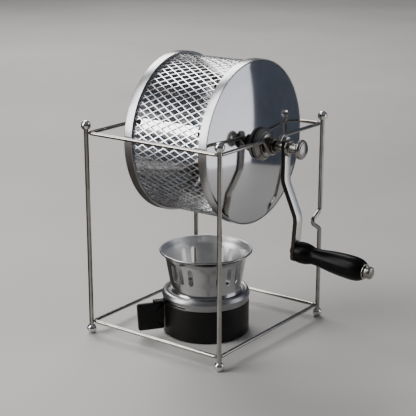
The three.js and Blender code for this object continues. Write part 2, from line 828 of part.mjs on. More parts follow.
function crankArm() {
  const route = new WireRoute(armRoute());
  const count = route.points.length;
  const sides = [-1, 1].map((side) => route.points.map((point, i) => {
    const along = route.getTangent(i / (count - 1));
    const offset = side * crankThickness / 2;
    return new THREE.Vector2(point.x - along.z * offset, point.z + along.x * offset);
  }));
  const profile = new THREE.Shape([...sides[0], ...sides[1].reverse()]);
  const blank = plate(profile, crankWidth).rotateX(Math.PI / 2);
  const half = crankWidth / 2;
  const outline = roundedRectangle(-half, -crankReach - crankEnd, half, crankEnd, half - gap);
  const reach = crankOffset + crankThickness + overrun;
  const front = plate(outline, 2 * reach).rotateY(Math.PI / 2).rotateX(Math.PI / 2);
  const shaftHole = turnedAcross(bar(boreRadius, -reach, reach), smallSides);
  const pinHole = turnedAcross(bar(gripPinDiameter / 2 + gap, -crankWidth, crankWidth), smallSides);
  pinHole.rotateY(crankLeanAngle).translate(pinAcross, 0, -crankReach);
  return cut(toGeometry(toSolid(blank).intersect(toSolid(front))), shaftHole, pinHole);
}

// Grip and its pin, along +X from the arm's middle
const gripStart = crankThickness / 2 + gap;
const gripEnd = gripStart + gripLength;
const washerStart = gripEnd + gap;
const headStart = washerStart + gripWasherThickness + gap;
const headEnd = headStart + gripHeadLength;
const gripBore = gripPinDiameter / 2 + runningGap;

function gripGeometry() {
  const outline = new THREE.SplineCurve(gripLengthShares.map((share, i) => (
    new THREE.Vector2(gripRadiusShares[i] * gripDiameter / 2, gripStart + share * gripLength)
  )));
  const surface = outline.getPoints(gripPoints).map((point) => [point.x, point.y]);
  return turnedAcross([[gripBore, gripStart], ...surface, [gripBore, gripEnd]], gripSides);
}

function gripPin() {
  const shank = gripPinDiameter / 2;
  const head = gripHeadDiameter / 2;
  const rivetTop = -crankThickness / 2 - gap;
  return turnedAcross([
    [0, rivetTop - gripRivetHeight],
    [gripRivetDiameter / 3, rivetTop - gripRivetHeight],
    [gripRivetDiameter / 2, rivetTop],
    [shank, rivetTop],
    [shank, headStart],
    [head, headStart],
    [head, headEnd - gripHeadEdge],
    [head - gripHeadEdge, headEnd],
    [0, headEnd],
  ], smallSides);
}

function gripWasher() {
  const washerEnd = washerStart + gripWasherThickness;
  return turnedAcross(tube(gripBore, gripWasherDiameter / 2, washerStart, washerEnd), smallSides);
}

function makeDrum() {
  const drum = new THREE.Group();
  const wall = toSolid(meshWall());
  const from = meshInner - overrun;
  const to = meshOuter + overrun;
  const window = hatchPart(from, to, hatchFrameHalfAngle, hatchFrameHalfLength, gap);
  const openWall = wall.subtract(window);
  for (let i = 0; i < meshPanels; i++) {
    drum.add(piece(`mesh_panel_${i + 1}`, toGeometry(meshPanel(openWall, i)), brightMesh));
  }
  drum.add(...makeHatch(wall));
  for (const [place, side] of [['left', -1], ['right', 1]]) {
    drum.add(piece(`drum_band_${place}`, band(side), satinSteel));
    drum.add(piece(`end_disc_${place}`, domedDisc(side), polishedSteel));
    const flange = piece(`hub_${place}`, hub(), satinSteel);
    flange.position.x = side > 0 ? hubRightStart : hubLeftStart;
    if (side < 0) flange.rotation.z = Math.PI;
    const bearing = piece(`bearing_bush_${place}`, bush(), bronze);
    bearing.position.x = side * bushX;
    drum.add(flange, bearing);
  }
  for (let i = 0; i < vaneCount; i++) {
    const angle = vaneFirstAngle + 2 * Math.PI * i / vaneCount;
    drum.add(piece(`lifter_vane_${i + 1}`, vane(angle), satinSteel));
  }
  const collarStart = -bushX + bushHalf + gap;
  const shaft = bar(shaftDiameter / 2, shaftStart, shaftEnd);
  const sleeve = tube(boreRadius, sleeveDiameter / 2, bushX + bushHalf + gap, crankInner - gap);
  const collar = tube(boreRadius, collarDiameter / 2, collarStart, collarStart + collarLength);
  drum.add(piece('shaft', turnedAcross(shaft, pinSides), satinSteel));
  drum.add(piece('spacer_sleeve', turnedAcross(sleeve, smallSides), satinSteel));
  drum.add(piece('shaft_collar', turnedAcross(collar, smallSides), satinSteel));
  drum.add(makeCrank());
  drum.position.z = drumAxisZ;
  return drum;
}

function makeCrank() {
  const crank = new THREE.Group();
  const arm = piece('crank_arm', crankArm(), polishedSteel);
  arm.position.x = crankMiddle;
  const nut = piece('knob_nut', knobNut(), polishedSteel);
  nut.position.x = knobStart;
  const grip = new THREE.Group();
  grip.add(piece('grip', gripGeometry(), blackGloss));
  grip.add(piece('grip_pin', gripPin(), polishedSteel));
  grip.add(piece('grip_washer', gripWasher(), satinSteel));
  grip.position.set(crankMiddle + pinAcross, 0, -crankReach);
  grip.rotation.y = crankLeanAngle;
  crank.add(arm, nut, grip);
  return crank;
}

// Burner, round its own upright axis
const coverTop = coverLedgeZ + coverCrown;
const wellTop = coverLedgeZ - coverWellDepth;
const regulatorTop = wellTop - coverSheet - runningGap;
const regulatorBottom = regulatorTop - leverSheet;
const potTop = regulatorBottom - runningGap;
const potBottom = baseFloor + gap;
const mouthRadius = coverMouthDiameter / 2;
const portRadius = (wellRadius - mouthRadius) / 2 - portMargin;
const portPlace = (mouthRadius + wellRadius) / 2;
const leverStart = baseRadius + paddleClearance;

function baseBowl() {
  return turnedUpright([
    [0, 0],
    [baseRadius - baseEdge, 0],
    [baseRadius, baseEdge],
    [baseRadius, baseHeight],
    [baseInner, baseHeight],
    [baseInner, baseFloor],
    [0, baseFloor],
  ]);
}

function fuelPot() {
  const inner = potRadius - potWall;
  return turnedUpright([
    [0, potBottom],
    [potRadius, potBottom],
    [potRadius, potTop],
    [inner, potTop],
    [inner, potBottom + potWall],
    [0, potBottom + potWall],
  ]);
}

// Flame ports, in line with those of the regulator when its lever is at the start of the slot
function ports(from, to) {
  return Array.from({ length: portCount }, (_, i) => {
    const angle = leverAngle + Math.PI * (2 * i + 1) / portCount;
    const drill = turnedUpright(bar(portRadius, from - overrun, to + overrun), pinSides);
    return drill.translate(portPlace * Math.cos(angle), portPlace * Math.sin(angle), 0);
  });
}

function slotCutter() {
  const outline = new THREE.Shape();
  outline.absarc(0, 0, baseRadius + coverBulge + overrun, slotStart, slotStart + slotSpan);
  outline.absarc(0, 0, baseInner - overrun, slotStart + slotSpan, slotStart, true);
  return plate(outline, slotHeight).translate(0, 0, regulatorBottom + leverSheet / 2);
}

function coverRing() {
  const bulge = baseRadius + coverBulge;
  const ledge = ledgeRadius;
  const well = wellRadius;
  const mouth = mouthRadius;
  const crown = (bulge + ledge) / 2;
  const shell = turnedUpright([
    [baseInner, coverBottom],
    [baseRadius, coverBottom],
    [baseRadius, coverRollZ - coverBulge],
    [bulge, coverRollZ],
    [bulge, coverRollZ + coverRoll / 3],
    [(bulge + crown) / 2, coverTop - coverCrown / 2],
    [crown, coverTop],
    [(crown + ledge) / 2, coverTop - coverCrown / 3],
    [ledge, coverLedgeZ],
    [well, coverLedgeZ],
    [well, wellTop],
    [mouth, wellTop],
    [mouth, wellTop - coverSheet],
    [well + coverSheet, wellTop - coverSheet],
    [well + coverSheet, coverLedgeZ - coverSheet],
    [ledge, coverLedgeZ - coverSheet],
    [crown, coverTop - coverSheet],
    [baseInner, coverRollZ + coverRoll / 3],
  ]);
  return cut(shell, slotCutter(), ...ports(wellTop - coverSheet, wellTop));
}

function regulator() {
  const plain = turnedUpright(tube(mouthRadius, baseInner - runningGap, regulatorBottom, regulatorTop));
  const leverEnd = leverStart + leverLegWidth;
  const tongue = new THREE.BoxGeometry(leverEnd - potRadius, leverWidth, leverSheet);
  tongue.translate((leverEnd + potRadius) / 2, 0, regulatorBottom + leverSheet / 2);
  const leg = new THREE.BoxGeometry(leverLegWidth, leverSheet, leverDrop);
  leg.translate((leverEnd + leverStart) / 2, (leverSheet - leverWidth) / 2, regulatorTop - leverDrop / 2);
  for (const part of [tongue, leg]) part.rotateZ(leverAngle);
  return cut(join(plain, tongue, leg), ...ports(regulatorBottom, regulatorTop));
}

// The paddle is a flat grip fixed against the lever's leg.
function leverPaddle() {
  const upper = leverStart + paddleLength;
  const lower = upper - paddleSlant;
  const top = regulatorBottom - paddleDrop;
  const bottom = top - paddleHeight;
  const shape = new THREE.Shape();
  shape.moveTo(leverStart, bottom);
  shape.lineTo(lower - paddleCorner, bottom);
  shape.quadraticCurveTo(lower, bottom, lower, bottom + paddleCorner);
  shape.lineTo(upper, top - paddleCorner);
  shape.quadraticCurveTo(upper, top, upper - paddleCorner, top);
  shape.lineTo(leverStart, top);
  const blade = plate(shape, paddleThickness).rotateX(Math.PI / 2);
  const seat = leverSheet + gap - leverWidth / 2;
  return blade.translate(0, seat + paddleThickness / 2, 0).rotateZ(leverAngle);
}

function cupGeometry() {
  const foot = ledgeRadius - cupFootClearance;
  const neck = foot - cupFootFlange;
  const throat = neck + cupTaper;
  const lip = throat + cupLipFlare - cupRoll;
  const neckZ = cupFootHeight;
  const throatZ = neckZ + cupWallHeight;
  const lipZ = throatZ + cupLipHeight;
  const bend = (foot - neck) / 3;
  const flare = throat + (lip - throat) * cupFlareShare;
  const flareZ = throatZ + cupLipHeight / 2;
  const shell = turnedUpright([
    [neck - cupWall, 0],
    [foot, 0],
    [foot, cupWall],
    [neck + bend, neckZ / 2],
    [neck, neckZ],
    [throat, throatZ],
    [flare, flareZ],
    ...arcProfile(cupRoll, -Math.PI / 2, Math.PI, rollSteps, [lip, lipZ]),
    [flare - cupWall, flareZ + cupWall],
    [throat - cupWall, throatZ],
    [neck - cupWall, neckZ],
  ]);
  const slotTop = throatZ - cupSlotDrop;
  const half = cupSlotWidth / 2;
  const slot = roundedRectangle(-half, slotTop - cupSlotHeight, half, slotTop, half - gap);
  const slots = [];
  for (const [count, middle] of cupSlotGroups) {
    for (let i = 0; i < count; i++) {
      const angle = middle + (i - (count - 1) / 2) * cupSlotStep;
      const cutter = plate(slot, throat).rotateX(Math.PI / 2).translate(0, throat, 0);
      slots.push(cutter.rotateZ(angle - Math.PI / 2));
    }
  }
  return cut(shell, ...slots).translate(0, 0, cupBottom);
}

function makeBurner() {
  const burner = new THREE.Group();
  const inside = potRadius - potWall - gap;
  const gauzeTop = potTop - gauzeDrop;
  const gauzeBottom = gauzeTop - gauzeThickness;
  const gauze = bar(inside, gauzeBottom, gauzeTop);
  const wadding = bar(inside, potBottom + potWall + gap, gauzeBottom - gap);
  burner.add(piece('burner_base', baseBowl(), blackEnamel));
  burner.add(piece('fuel_pot', fuelPot(), satinSteel));
  burner.add(piece('wadding', turnedUpright(wadding, smallSides), whiteFibre));
  burner.add(piece('wick_gauze', turnedUpright(gauze, smallSides), satinSteel));
  burner.add(piece('regulator', regulator(), satinSteel));
  burner.add(piece('lever_paddle', leverPaddle(), blackEnamel));
  burner.add(piece('burner_cover', coverRing(), spunMetal));
  burner.add(piece('burner_cup', cupGeometry(), spunMetal));
  burner.position.set(burnerOffsetX, burnerOffsetY, 0);
  return burner;
}

// The stand's left balls and the head of the grip pin end the object along X.
const leftEnd = -Math.max(postX + ballRadius, -shaftStart);
const headRadius = gripHeadDiameter / 2;
const headTip = Math.max(
  headEnd * Math.cos(crankLeanAngle) + (headRadius - gripHeadEdge) * Math.sin(crankLeanAngle),
  (headEnd - gripHeadEdge) * Math.cos(crankLeanAngle) + headRadius * Math.sin(crankLeanAngle),
);
const rightEnd = crankMiddle + pinAcross + headTip;

const group = new THREE.Group();
group.add(makeStand(), makeDrum(), makeBurner());
group.position.x = -(leftEnd + rightEnd) / 2;

export default group;
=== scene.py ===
import json
from math import acos, asin, atan2, ceil, copysign, cos, degrees, hypot, pi, radians, sin, sqrt, tan

import bmesh
import bpy
from mathutils import Matrix, Vector


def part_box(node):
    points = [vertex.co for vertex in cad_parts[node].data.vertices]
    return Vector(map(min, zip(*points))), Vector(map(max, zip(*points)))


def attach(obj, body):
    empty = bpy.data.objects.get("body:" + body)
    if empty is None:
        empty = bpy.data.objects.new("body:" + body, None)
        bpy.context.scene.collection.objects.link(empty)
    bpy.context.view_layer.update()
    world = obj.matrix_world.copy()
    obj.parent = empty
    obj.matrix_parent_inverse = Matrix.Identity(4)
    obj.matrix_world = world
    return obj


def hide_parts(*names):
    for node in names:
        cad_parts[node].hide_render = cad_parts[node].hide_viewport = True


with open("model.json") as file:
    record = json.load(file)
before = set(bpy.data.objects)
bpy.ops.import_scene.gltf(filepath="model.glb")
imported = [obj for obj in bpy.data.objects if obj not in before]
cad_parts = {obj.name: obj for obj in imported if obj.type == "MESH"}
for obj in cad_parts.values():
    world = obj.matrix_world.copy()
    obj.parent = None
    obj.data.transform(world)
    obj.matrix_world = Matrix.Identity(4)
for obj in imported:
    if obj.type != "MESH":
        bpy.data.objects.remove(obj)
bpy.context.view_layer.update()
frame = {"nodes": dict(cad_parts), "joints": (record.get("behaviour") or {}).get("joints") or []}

# Lengths are millimetres in the CAD's frame, angles are degrees. Meshes are written in metres.
METRE = 0.001
TRIM = 0.02  # how far the round pieces stay inside the facets of the CAD's box
GAP = 0.3  # between neighbouring pieces
CLEAR = 2  # how far a cutting shape reaches past what it cuts
TINY = 1e-6
SAME_PLACE = 1e-7  # in metres: points nearer to each other are joined
SIDES = ((-1, "left"), (1, "right"))

# Facets and rounded corners
WIRE_SIDES = 24
BARREL_SIDES = 32
DRILL_SIDES = 40
BALL_SIDES = 48
SMALL_SIDES = 64
HUB_SIDES = 96
TURNED_SIDES = 128
COVER_SIDES = 160
DRUM_SIDES = 192
BEND_STEP = 6
ARC_STEPS = 14
BLOCK_STEPS = 16
DISC_STEPS = 24
SLOT_STEPS = 24
STRAIGHT = 80  # a corner counts as straight when half its angle is more
ROUND_REACH = 0.45  # of an edge, at most, goes into a rounded corner
RIM_SHRINK = 0.6  # of a bevel is taken from the corners' rounding at a box's rims
SHARP = 32  # edges that bend more stay sharp
FLAT_SHARP = 50
GRIP_SHARP = 45
CUP_SHARP = 35

# Stand
POST_CHAMFER = 0.3
KINK_HEIGHT = 93  # of its tip over the foot ball's centre
KINK_TIP = 16  # of its corner from the post's axis, before the bend rounds it
KINK_RISE = 8
KINK_FALL = 10
KINK_BEND = 4
BALL_BORE_PLAY = 0.05
BALL_RIM_PLAY = 0.08
BALL_RIM_ROUND = 0.2
BALL_BORE_FLOOR = -1.4  # from the ball's centre
BALL_BORE_MOUTH = -2
BALL_STEPS = 30
FOOT_STEPS = 28
FOOT_GROUND = 0.2  # taken off under each foot ball
FOOT_LIFT = 0.004  # keeps the ground face inside the CAD's box
RING_RADIUS = 1.6
RAIL_CHAMFER = 0.03
RAIL_LAP = 0.3  # of a straight rail with the ring's corners at its ends
CORNER_BEND = 5
CORNER_STUB = 3
CRADLE_DEPTH = 13.3
CRADLE_BEND = 7.3
CRADLE_FLANK = 50
CRADLE_SHOULDER_BEND = 4
BEAD_RADIUS = 1.15  # of the weld between a ring's corner and its post
BEAD_OFFSET = 0.15  # of its middle from the post's skin
BEAD_STRETCH = (0.8, 1.25, 1.15, 1)

# Drum
BAND_THICKNESS = 2.2
BAND_EDGE = 0.35
DISC_THICKNESS = 1
DISC_DOME = 6
DISC_EDGE = 0.25
LIP_WIDTH = 0.9  # of the lip that the band has round the disc
LIP_RISE = 0.4
NET_THICKNESS = 0.7
NET_SEAT = 1.2  # from the net's outside to what stands on its inside
NET_PITCH = 11.5  # of the diamonds along the drum
NET_COLUMNS = 69  # diamonds round the drum
NET_STRAND = 0.8
NET_TILT = 0.25  # the strands' slant, as a rise of one edge
NET_PHASE = -8.2  # a diamond's middle, along the drum from its middle
NET_PHASE_ANGLE = 157.9
NET_CUT = 0.3  # share of a half row that may be cut off at the left
NET_CORNERS = ((1, 0), (0, 1), (-1, 0), (0, -1))  # a diamond's, along the drum and round it
VANE_COUNT = 4
VANE_ANGLE = 164
VANE_FOOT = 9.3
VANE_DEPTH = 14
VANE_SHEET = 0.8
VANE_ROUND = 0.35

# Hatch
HATCH_ANGLE = 299
HATCH_LENGTH = 52
HATCH_WIDTH = 44
HATCH_BORDER = 4
HATCH_FRAME_BORDER = 6
HATCH_LAP = 1  # of the net with the border that holds it
HATCH_PROUD = 0.2
HATCH_BEVEL = 0.2
BEVEL_SEGMENTS = 2
BEVEL_SHARP = 30  # edges that bend more are bevelled
BARREL = 4.2
BARREL_BORE = 2.4
BARREL_LENGTH = 10
BARREL_PLAY = 0.1
BARREL_ROUND = 0.25
WEB = 1.4
WEB_DEPTH = 2.6  # from the pin's axis
WEB_ROUND = 0.1
HATCH_PIN = 1.8
HATCH_PIN_ROUND = 0.3
TAB_WIDTH = 14
TAB_RISE = 4
TAB_SINK = 0.4
TAB_ROUND = 0.5

# Shaft and bearings
SHAFT_ROUND = 0.5
BORE_RADIUS = 3.3
HUB_FLANGE = ((0, 0), (0, 3.2), (-2.6, 5.8))  # as (distance from its radius, along)
HUB_BOSS = ((11.3, 5.8), (10.9, 5.2), (10, 5.2), (10, 7))  # as (radius, along), with the groove round it
HUB_NOSE = ((1.4, -1), (0, 0))  # as (distance from the bush's seat, distance from its end)
HUB_ROUND = 0.35
BUSH_BORE = 3.4
BUSH_SEAT = 10.8
BUSH_FLANGE = 1.2
BUSH_ROUND = 0.25
SLEEVE_BORE = 3.1
SLEEVE_ROUND = 0.4

# Crank
CRANK_REACH = 90
CRANK_END = 9.5
CRANK_WIDTH = 10
CRANK_THICKNESS = 4
CRANK_EDGE = 0.9
CRANK_EDGE_SHARE = 0.9  # of the half width, at most, goes into a rounded edge
CRANK_EDGE_STEPS = 4
CRANK_ROUND = 4.7  # of its ends in plan
CRANK_ROUND_STEPS = 10
CRANK_STEP = 13.4
CRANK_STEP_TOP = 29.2
CRANK_STEP_LENGTH = 31
CRANK_BEND = 16
CRANK_LEAN = 4.2

# Knob
KNOB_HOLE = ((0, 3), (2, 3), (2, 0))  # outlines are (radius, along)
KNOB_FLANGE = ((7.2, 0), (7.5, 0.3), (7.5, 1.5), (6.4, 2.5))
KNOB_NECK = ((4.9, 2.6), (4.5, 3), (4.5, 9.4), (5.3, 10.4))
KNOB_NECK_LENGTH = 10.6
KNOB_DOME = 1.4
KNOB_DOME_SHARES = ((0.72, 0.55), (0.45, 0.2), (0.2, 0.04))  # of the radius, and of the dome under its top

# Grip and its pin
GRIP_LENGTH = 66
GRIP_START = 2.3  # from the arm's middle
GRIP_BORE = 3
GRIP_LENGTH_SHARES = (0, 0.02, 0.1, 0.18, 0.26, 0.38, 0.53, 0.68, 0.8, 0.88, 0.94, 0.985, 1)
GRIP_RADIUS_SHARES = (0.78, 0.88, 0.92, 0.85, 0.72, 0.77, 0.9, 0.975, 1, 0.985, 0.91, 0.77, 0.66)
GRIP_DIAMETER = 20.4
GRIP_STEPS = 8
WASHER_BORE = 2.7
WASHER_RADIUS = 6.6
WASHER_THICKNESS = 1
WASHER_ROUND = 0.25
PIN_DIAMETER = 5.2
RIVET_DIAMETER = 9
RIVET_HEIGHT = 1.6
RIVET_SHARES = ((0, 1), (0.22, 0.94), (0.38, 0.62), (0.5, 0))  # of its diameter and of its height
HEAD_DIAMETER = 10.6
HEAD_OUTLINE = (  # as (inset from the radius, distance from the washer's side)
    (0.4, 0), (0, 0.5), (0, 1.7), (0.5, 2.0), (0.5, 2.3), (0, 2.6), (0, 4.6), (0.3, 5.15), (0.9, 5.5),
)

# Burner
BASE_WALL = 1.6
BASE_FLOOR = 2
BASE_UNDERSIDE = ((-9, 0.6), (-8, 0), (-1.6, 0), (0, 1.6))  # as (distance from the radius, height)
BASE_ROUND = 0.7
COVER_SHEET = 1
COVER_BULGE = 0.8
COVER_LEDGE = 68.2
COVER_LEDGE_Z = 39
COVER_WELL = 53
COVER_WELL_Z = 34.6
COVER_MOUTH = 24
COVER_ROLL = 5  # height of the bulge over the cover's rim
COVER_ROLL_START = ((0, -1.4), (0.25, -0.7))  # from the wall and that height
COVER_ROLL_END = ((0, 0.5), (0, 1.2), (-0.5, 2.5))  # from the bulge and that height
COVER_ROLL_UNDER = 1.1
COVER_CROWN_FALLS = (0.75, 0.4)  # halfway from its crown to the bulge and to the ledge
COVER_ROUND = 0.5
PORT_COUNT = 4
PORT_DIAMETER = 10
PORT_PLACE = (COVER_MOUTH + COVER_WELL) / 4
LEVER_ANGLE = -125
SLOT_HEIGHT = 2.2
SLOT_START = -132.4
SLOT_SPAN = 51
REGULATOR_RADIUS = 37.6
REGULATOR_SHEET = 1.2
REGULATOR_ROUND = 0.25
LEVER_START = 36
LEVER_WIDTH = 7
LEVER_REACH = 50
LEVER_DROP = 18
LEVER_STEP = 0.2
LEVER_ROUND = 0.35
PADDLE_REACH = 65.8
PADDLE_CORNER = 2.5
PADDLE_SLANT = 1.4
PADDLE_THICKNESS = 3.4
PADDLE_START = 40.4
PADDLE_BEVEL = 0.7

# Cup
CUP_FOOT = 67
CUP_NECK = 64.6
CUP_THROAT = 73.6
CUP_FOOT_HEIGHT = 5
CUP_FOOT_CURVE = ((0.55, 1.7), (0.2, 3.2))  # as (share of the way from neck to foot, height)
CUP_WALL_HEIGHT = 25.5
CUP_WALL_RINGS = (0, 0.33, 0.66, 1)
CUP_LIP_HEIGHT = 7.1
CUP_FLARE = 0.4  # share of the way from throat to lip, at half the lip's height
CUP_WALL = 0.8
CUP_ROLL = 0.9
CUP_OUTER_ROUND = 1.2
CUP_INNER_ROUND = 1
CUP_SLOT_WIDTH = 4.6
CUP_SLOT_HEIGHT = 16.4
CUP_SLOT_DROP = 1.4  # from the throat to the slots
CUP_SLOT_STEP = 16.3
CUP_SLOT_GROUPS = ((3, -92.7), (3, -18), (2, 93.5), (2, 154.2))  # as (count, middle angle)


def span(node):
    """Lowest and highest corner of a CAD node, in millimetres."""
    low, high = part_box(node)
    return low / METRE, high / METRE


def middle(node):
    low, high = span(node)
    return (low + high) / 2


def half_width(node):
    low, high = span(node)
    return (high.x - low.x) / 2


def half_height(node):
    low, high = span(node)
    return (high.z - low.z) / 2


def end_x(node, side):
    """Where a CAD node ends at the left (side -1) or at the right (side 1)."""
    low, high = span(node)
    return high.x if side > 0 else low.x


NET_PANELS = [f"mesh_panel_{i}" for i in (1, 2, 3, 4)]
PANEL_SPANS = [span(panel) for panel in NET_PANELS]
NET_LEFT, NET_RIGHT = PANEL_SPANS[0][0].x, PANEL_SPANS[0][1].x
NET_OUTER = (max(high.z for low, high in PANEL_SPANS) - min(low.z for low, high in PANEL_SPANS)) / 2
SHAFT_Z = middle("shaft").z
STAND_X = (middle("post_front_left").x + middle("post_front_right").x) / 2
DRUM_X = (NET_LEFT + NET_RIGHT) / 2
DRUM_RADIUS = half_height("drum_band_right") - TRIM
BURNER = middle("burner_base")
ON_BURNER = Matrix.Translation((BURNER.x, BURNER.y, 0))


# Materials

NOISE_LOW, NOISE_HIGH = 0.3, 0.7  # most values of a noise lie between them
MIX_FIRST, MIX_SECOND, MIX_RESULT = 6, 7, 2  # places of the colour sockets on a mix node
SLOTS = {  # of the materials that don't have one under their own name
    "pin_steel": "polished_steel",
    "arm_steel": "polished_steel",
    "band_steel": "satin_steel",
    "turned_steel": "satin_steel",
    "sheet_steel": "satin_steel",
    "gauze_steel": "satin_steel",
    "spun_cover": "spun_metal",
    "cup_metal": "spun_metal",
}


class Nodes:
    """A material with short ways to add and link its nodes."""

    def __init__(self, name):
        self.slot = SLOTS.get(name, name)
        self.material = bpy.data.materials.new(name)
        self.material.use_nodes = True
        self.tree = self.material.node_tree
        self.shader = self.tree.nodes["Principled BSDF"]

    def add(self, kind, settings=None, **inputs):
        node = self.tree.nodes.new(kind)
        for key, value in (settings or {}).items():
            setattr(node, key, value)
        for key, value in inputs.items():
            self.feed(node.inputs[key.replace("_", " ")], value)
        return node

    def feed(self, socket, value):
        if isinstance(value, bpy.types.NodeSocket):
            self.tree.links.new(value, socket)
        else:
            socket.default_value = value

    def work(self, kind, operation, values):
        node = self.add(kind, {"operation": operation})
        for socket, value in zip(node.inputs, values):
            self.feed(socket, value)
        return node.outputs

    def math(self, operation, *values):
        return self.work("ShaderNodeMath", operation, values)[0]

    def vector(self, operation, *values):
        outputs = self.work("ShaderNodeVectorMath", operation, values)
        return outputs["Value" if operation in ("LENGTH", "DOT_PRODUCT") else "Vector"]

    def place(self):
        return self.add("ShaderNodeTexCoord").outputs["Object"]

    def facing(self):
        return self.add("ShaderNodeTexCoord").outputs["Normal"]

    def parts(self, vector):
        return self.add("ShaderNodeSeparateXYZ", Vector=vector).outputs

    def noise(self, vector, scale, detail=3, roughness=0.5):
        node = self.add("ShaderNodeTexNoise", Vector=vector, Scale=scale, Detail=detail, Roughness=roughness)
        return node.outputs["Fac"]

    def mixed(self, first, second, share):
        """Both values added, the first by its share and the second by the rest."""
        if share in (0, 1):
            return first if share else second
        return self.math("ADD", self.math("MULTIPLY", first, share), self.math("MULTIPLY", second, 1 - share))

    def spread(self, value, low, high, start=NOISE_LOW, end=NOISE_HIGH):
        limits = {"From_Min": start, "From_Max": end, "To_Min": low, "To_Max": high}
        return self.add("ShaderNodeMapRange", Value=value, **limits).outputs["Result"]

    def between(self, value, dark, light):
        ramp = self.add("ShaderNodeValToRGB", Fac=value)
        set_ramp(ramp, (NOISE_LOW, dark), (NOISE_HIGH, light))
        return ramp.outputs[0]

    def blend(self, share, first, second):
        node = self.add("ShaderNodeMix", {"data_type": "RGBA"}, Factor=share)
        self.feed(node.inputs[MIX_FIRST], first)
        self.feed(node.inputs[MIX_SECOND], second)
        return node.outputs[MIX_RESULT]

    def bump(self, height, strength, distance):
        node = self.add("ShaderNodeBump", Height=height, Strength=strength, Distance=distance * METRE)
        return node.outputs["Normal"]

    def away(self, point):
        return self.vector("SUBTRACT", self.place(), Vector(point) * METRE)

    def turned_place(self, point, axis):
        """Distance from an axis and along it, for lines that a lathe or a polishing wheel leaves."""
        away = self.away(point)
        radius = self.vector("LENGTH", self.vector("CROSS_PRODUCT", away, axis))
        along = self.vector("DOT_PRODUCT", away, axis)
        return self.add("ShaderNodeCombineXYZ", X=radius, Y=along).outputs[0]

    def finish(self, color, roughness, normal=None, metallic=1, gloss=0.5):
        values = {
            "Base Color": color,
            "Roughness": roughness,
            "Metallic": metallic,
            "Specular IOR Level": gloss,
        }
        if normal is not None:
            values["Normal"] = normal
        for key, value in values.items():
            self.feed(self.shader.inputs[key], value)
        return self.material, self.slot


def set_ramp(ramp, *stops):
    for element, (position, color) in zip(ramp.color_ramp.elements, stops):
        element.position = position
        element.color = (*color, 1)


def mottled(name, broad, fine, dark, light, rough, bump, shading=1, wearing=1, **finish):
    """Two noises of (scale, detail, roughness). Shading and wearing are the broad one's shares in the colour
    and in the roughness, and the fine one is the bump."""
    n = Nodes(name)
    place = n.place()
    clouds = n.noise(place, *broad)
    grain = n.noise(place, *fine)
    return n.finish(
        n.between(n.mixed(clouds, grain, shading), dark, light),
        n.spread(n.mixed(clouds, grain, wearing), *rough),
        n.bump(grain, *bump),
        **finish,
    )


def polished(name, dark, light, rough, grain=900, depth=0.004):
    """Polished metal with faint cloudy wear and fine scratches."""
    return mottled(name, (60, 4), (grain, 5, 0.7), dark, light, rough, (0.25, depth), wearing=0.6)


def turning_marks(n, axle, lines):
    """Fine lines that run round an axle, alone and with soft clouds over them."""
    rings = n.noise(n.turned_place(*axle), lines, 6, 0.75)
    clouds = n.noise(n.place(), 45, 4)
    return rings, n.mixed(rings, clouds, 0.55)


def spun(name, axle, dark, light, rough, lines=2600, strength=0.25, depth=0.02):
    """Turned or spun metal."""
    n = Nodes(name)
    rings, marks = turning_marks(n, axle, lines)
    return n.finish(n.between(marks, dark, light), n.spread(marks, *rough), n.bump(rings, strength, depth))


def cup_metal():
    """Spun cup, polished outside and satin inside. Its colour is painted darker outside and brighter inside:
    painted shade and painted light.
    """
    n = Nodes("cup_metal")
    rings, marks = turning_marks(n, BURNER_AXLE, 2200)
    away = n.vector("MULTIPLY", n.away(BURNER_AXLE[0]), (1, 1, 0))
    inside = n.math("LESS_THAN", n.vector("DOT_PRODUCT", away, n.facing()), 0)
    # Painted light and shade: one metal in two tones, darker on the outside and brighter on the inside.
    outside_painted_shade = n.between(marks, (0.4, 0.4, 0.405), (0.52, 0.52, 0.525))
    inside_painted_light = n.between(marks, (0.7, 0.7, 0.7), (0.9, 0.9, 0.9))
    rough = n.math("ADD", n.spread(marks, 0.15, 0.25), n.math("MULTIPLY", inside, 0.2))
    return n.finish(n.blend(inside, outside_painted_shade, inside_painted_light), rough, n.bump(rings, 0.25, 0.02))


def brushed_arm():
    """The crank's bar: faces ground along their length and mottled. Its edges are painted near black as
    painted shade.
    """
    n = Nodes("arm_steel")
    place = n.place()
    lines = n.noise(n.vector("MULTIPLY", place, (2600, 2600, 90)), 1, 4, 0.6)
    marks = n.mixed(lines, n.noise(place, 700, 4, 0.65), 0.45)
    # Painted shade: the edges facing sideways get a near-black colour in place of the shade they fall into.
    edge = n.spread(n.math("ABSOLUTE", n.parts(n.facing())[1]), 0, 1, start=0.15, end=0.5)
    face = n.between(marks, (0.66, 0.65, 0.62), (0.84, 0.83, 0.8))
    painted_edge_shade = n.between(marks, (0.06, 0.055, 0.05), (0.12, 0.11, 0.1))
    return n.finish(n.blend(edge, face, painted_edge_shade), n.spread(marks, 0.24, 0.4), n.bump(marks, 0.35, 0.012))


def white_fibre():
    n = Nodes("white_fibre")
    strands = n.noise(n.vector("MULTIPLY", n.place(), (900, 420, 1500)), 1, 6, 0.7)
    return n.finish(
        n.between(strands, (0.5, 0.47, 0.41), (0.86, 0.84, 0.78)),
        n.spread(strands, 0.85, 1),
        n.bump(strands, 0.8, 0.4),
        metallic=0,
    )


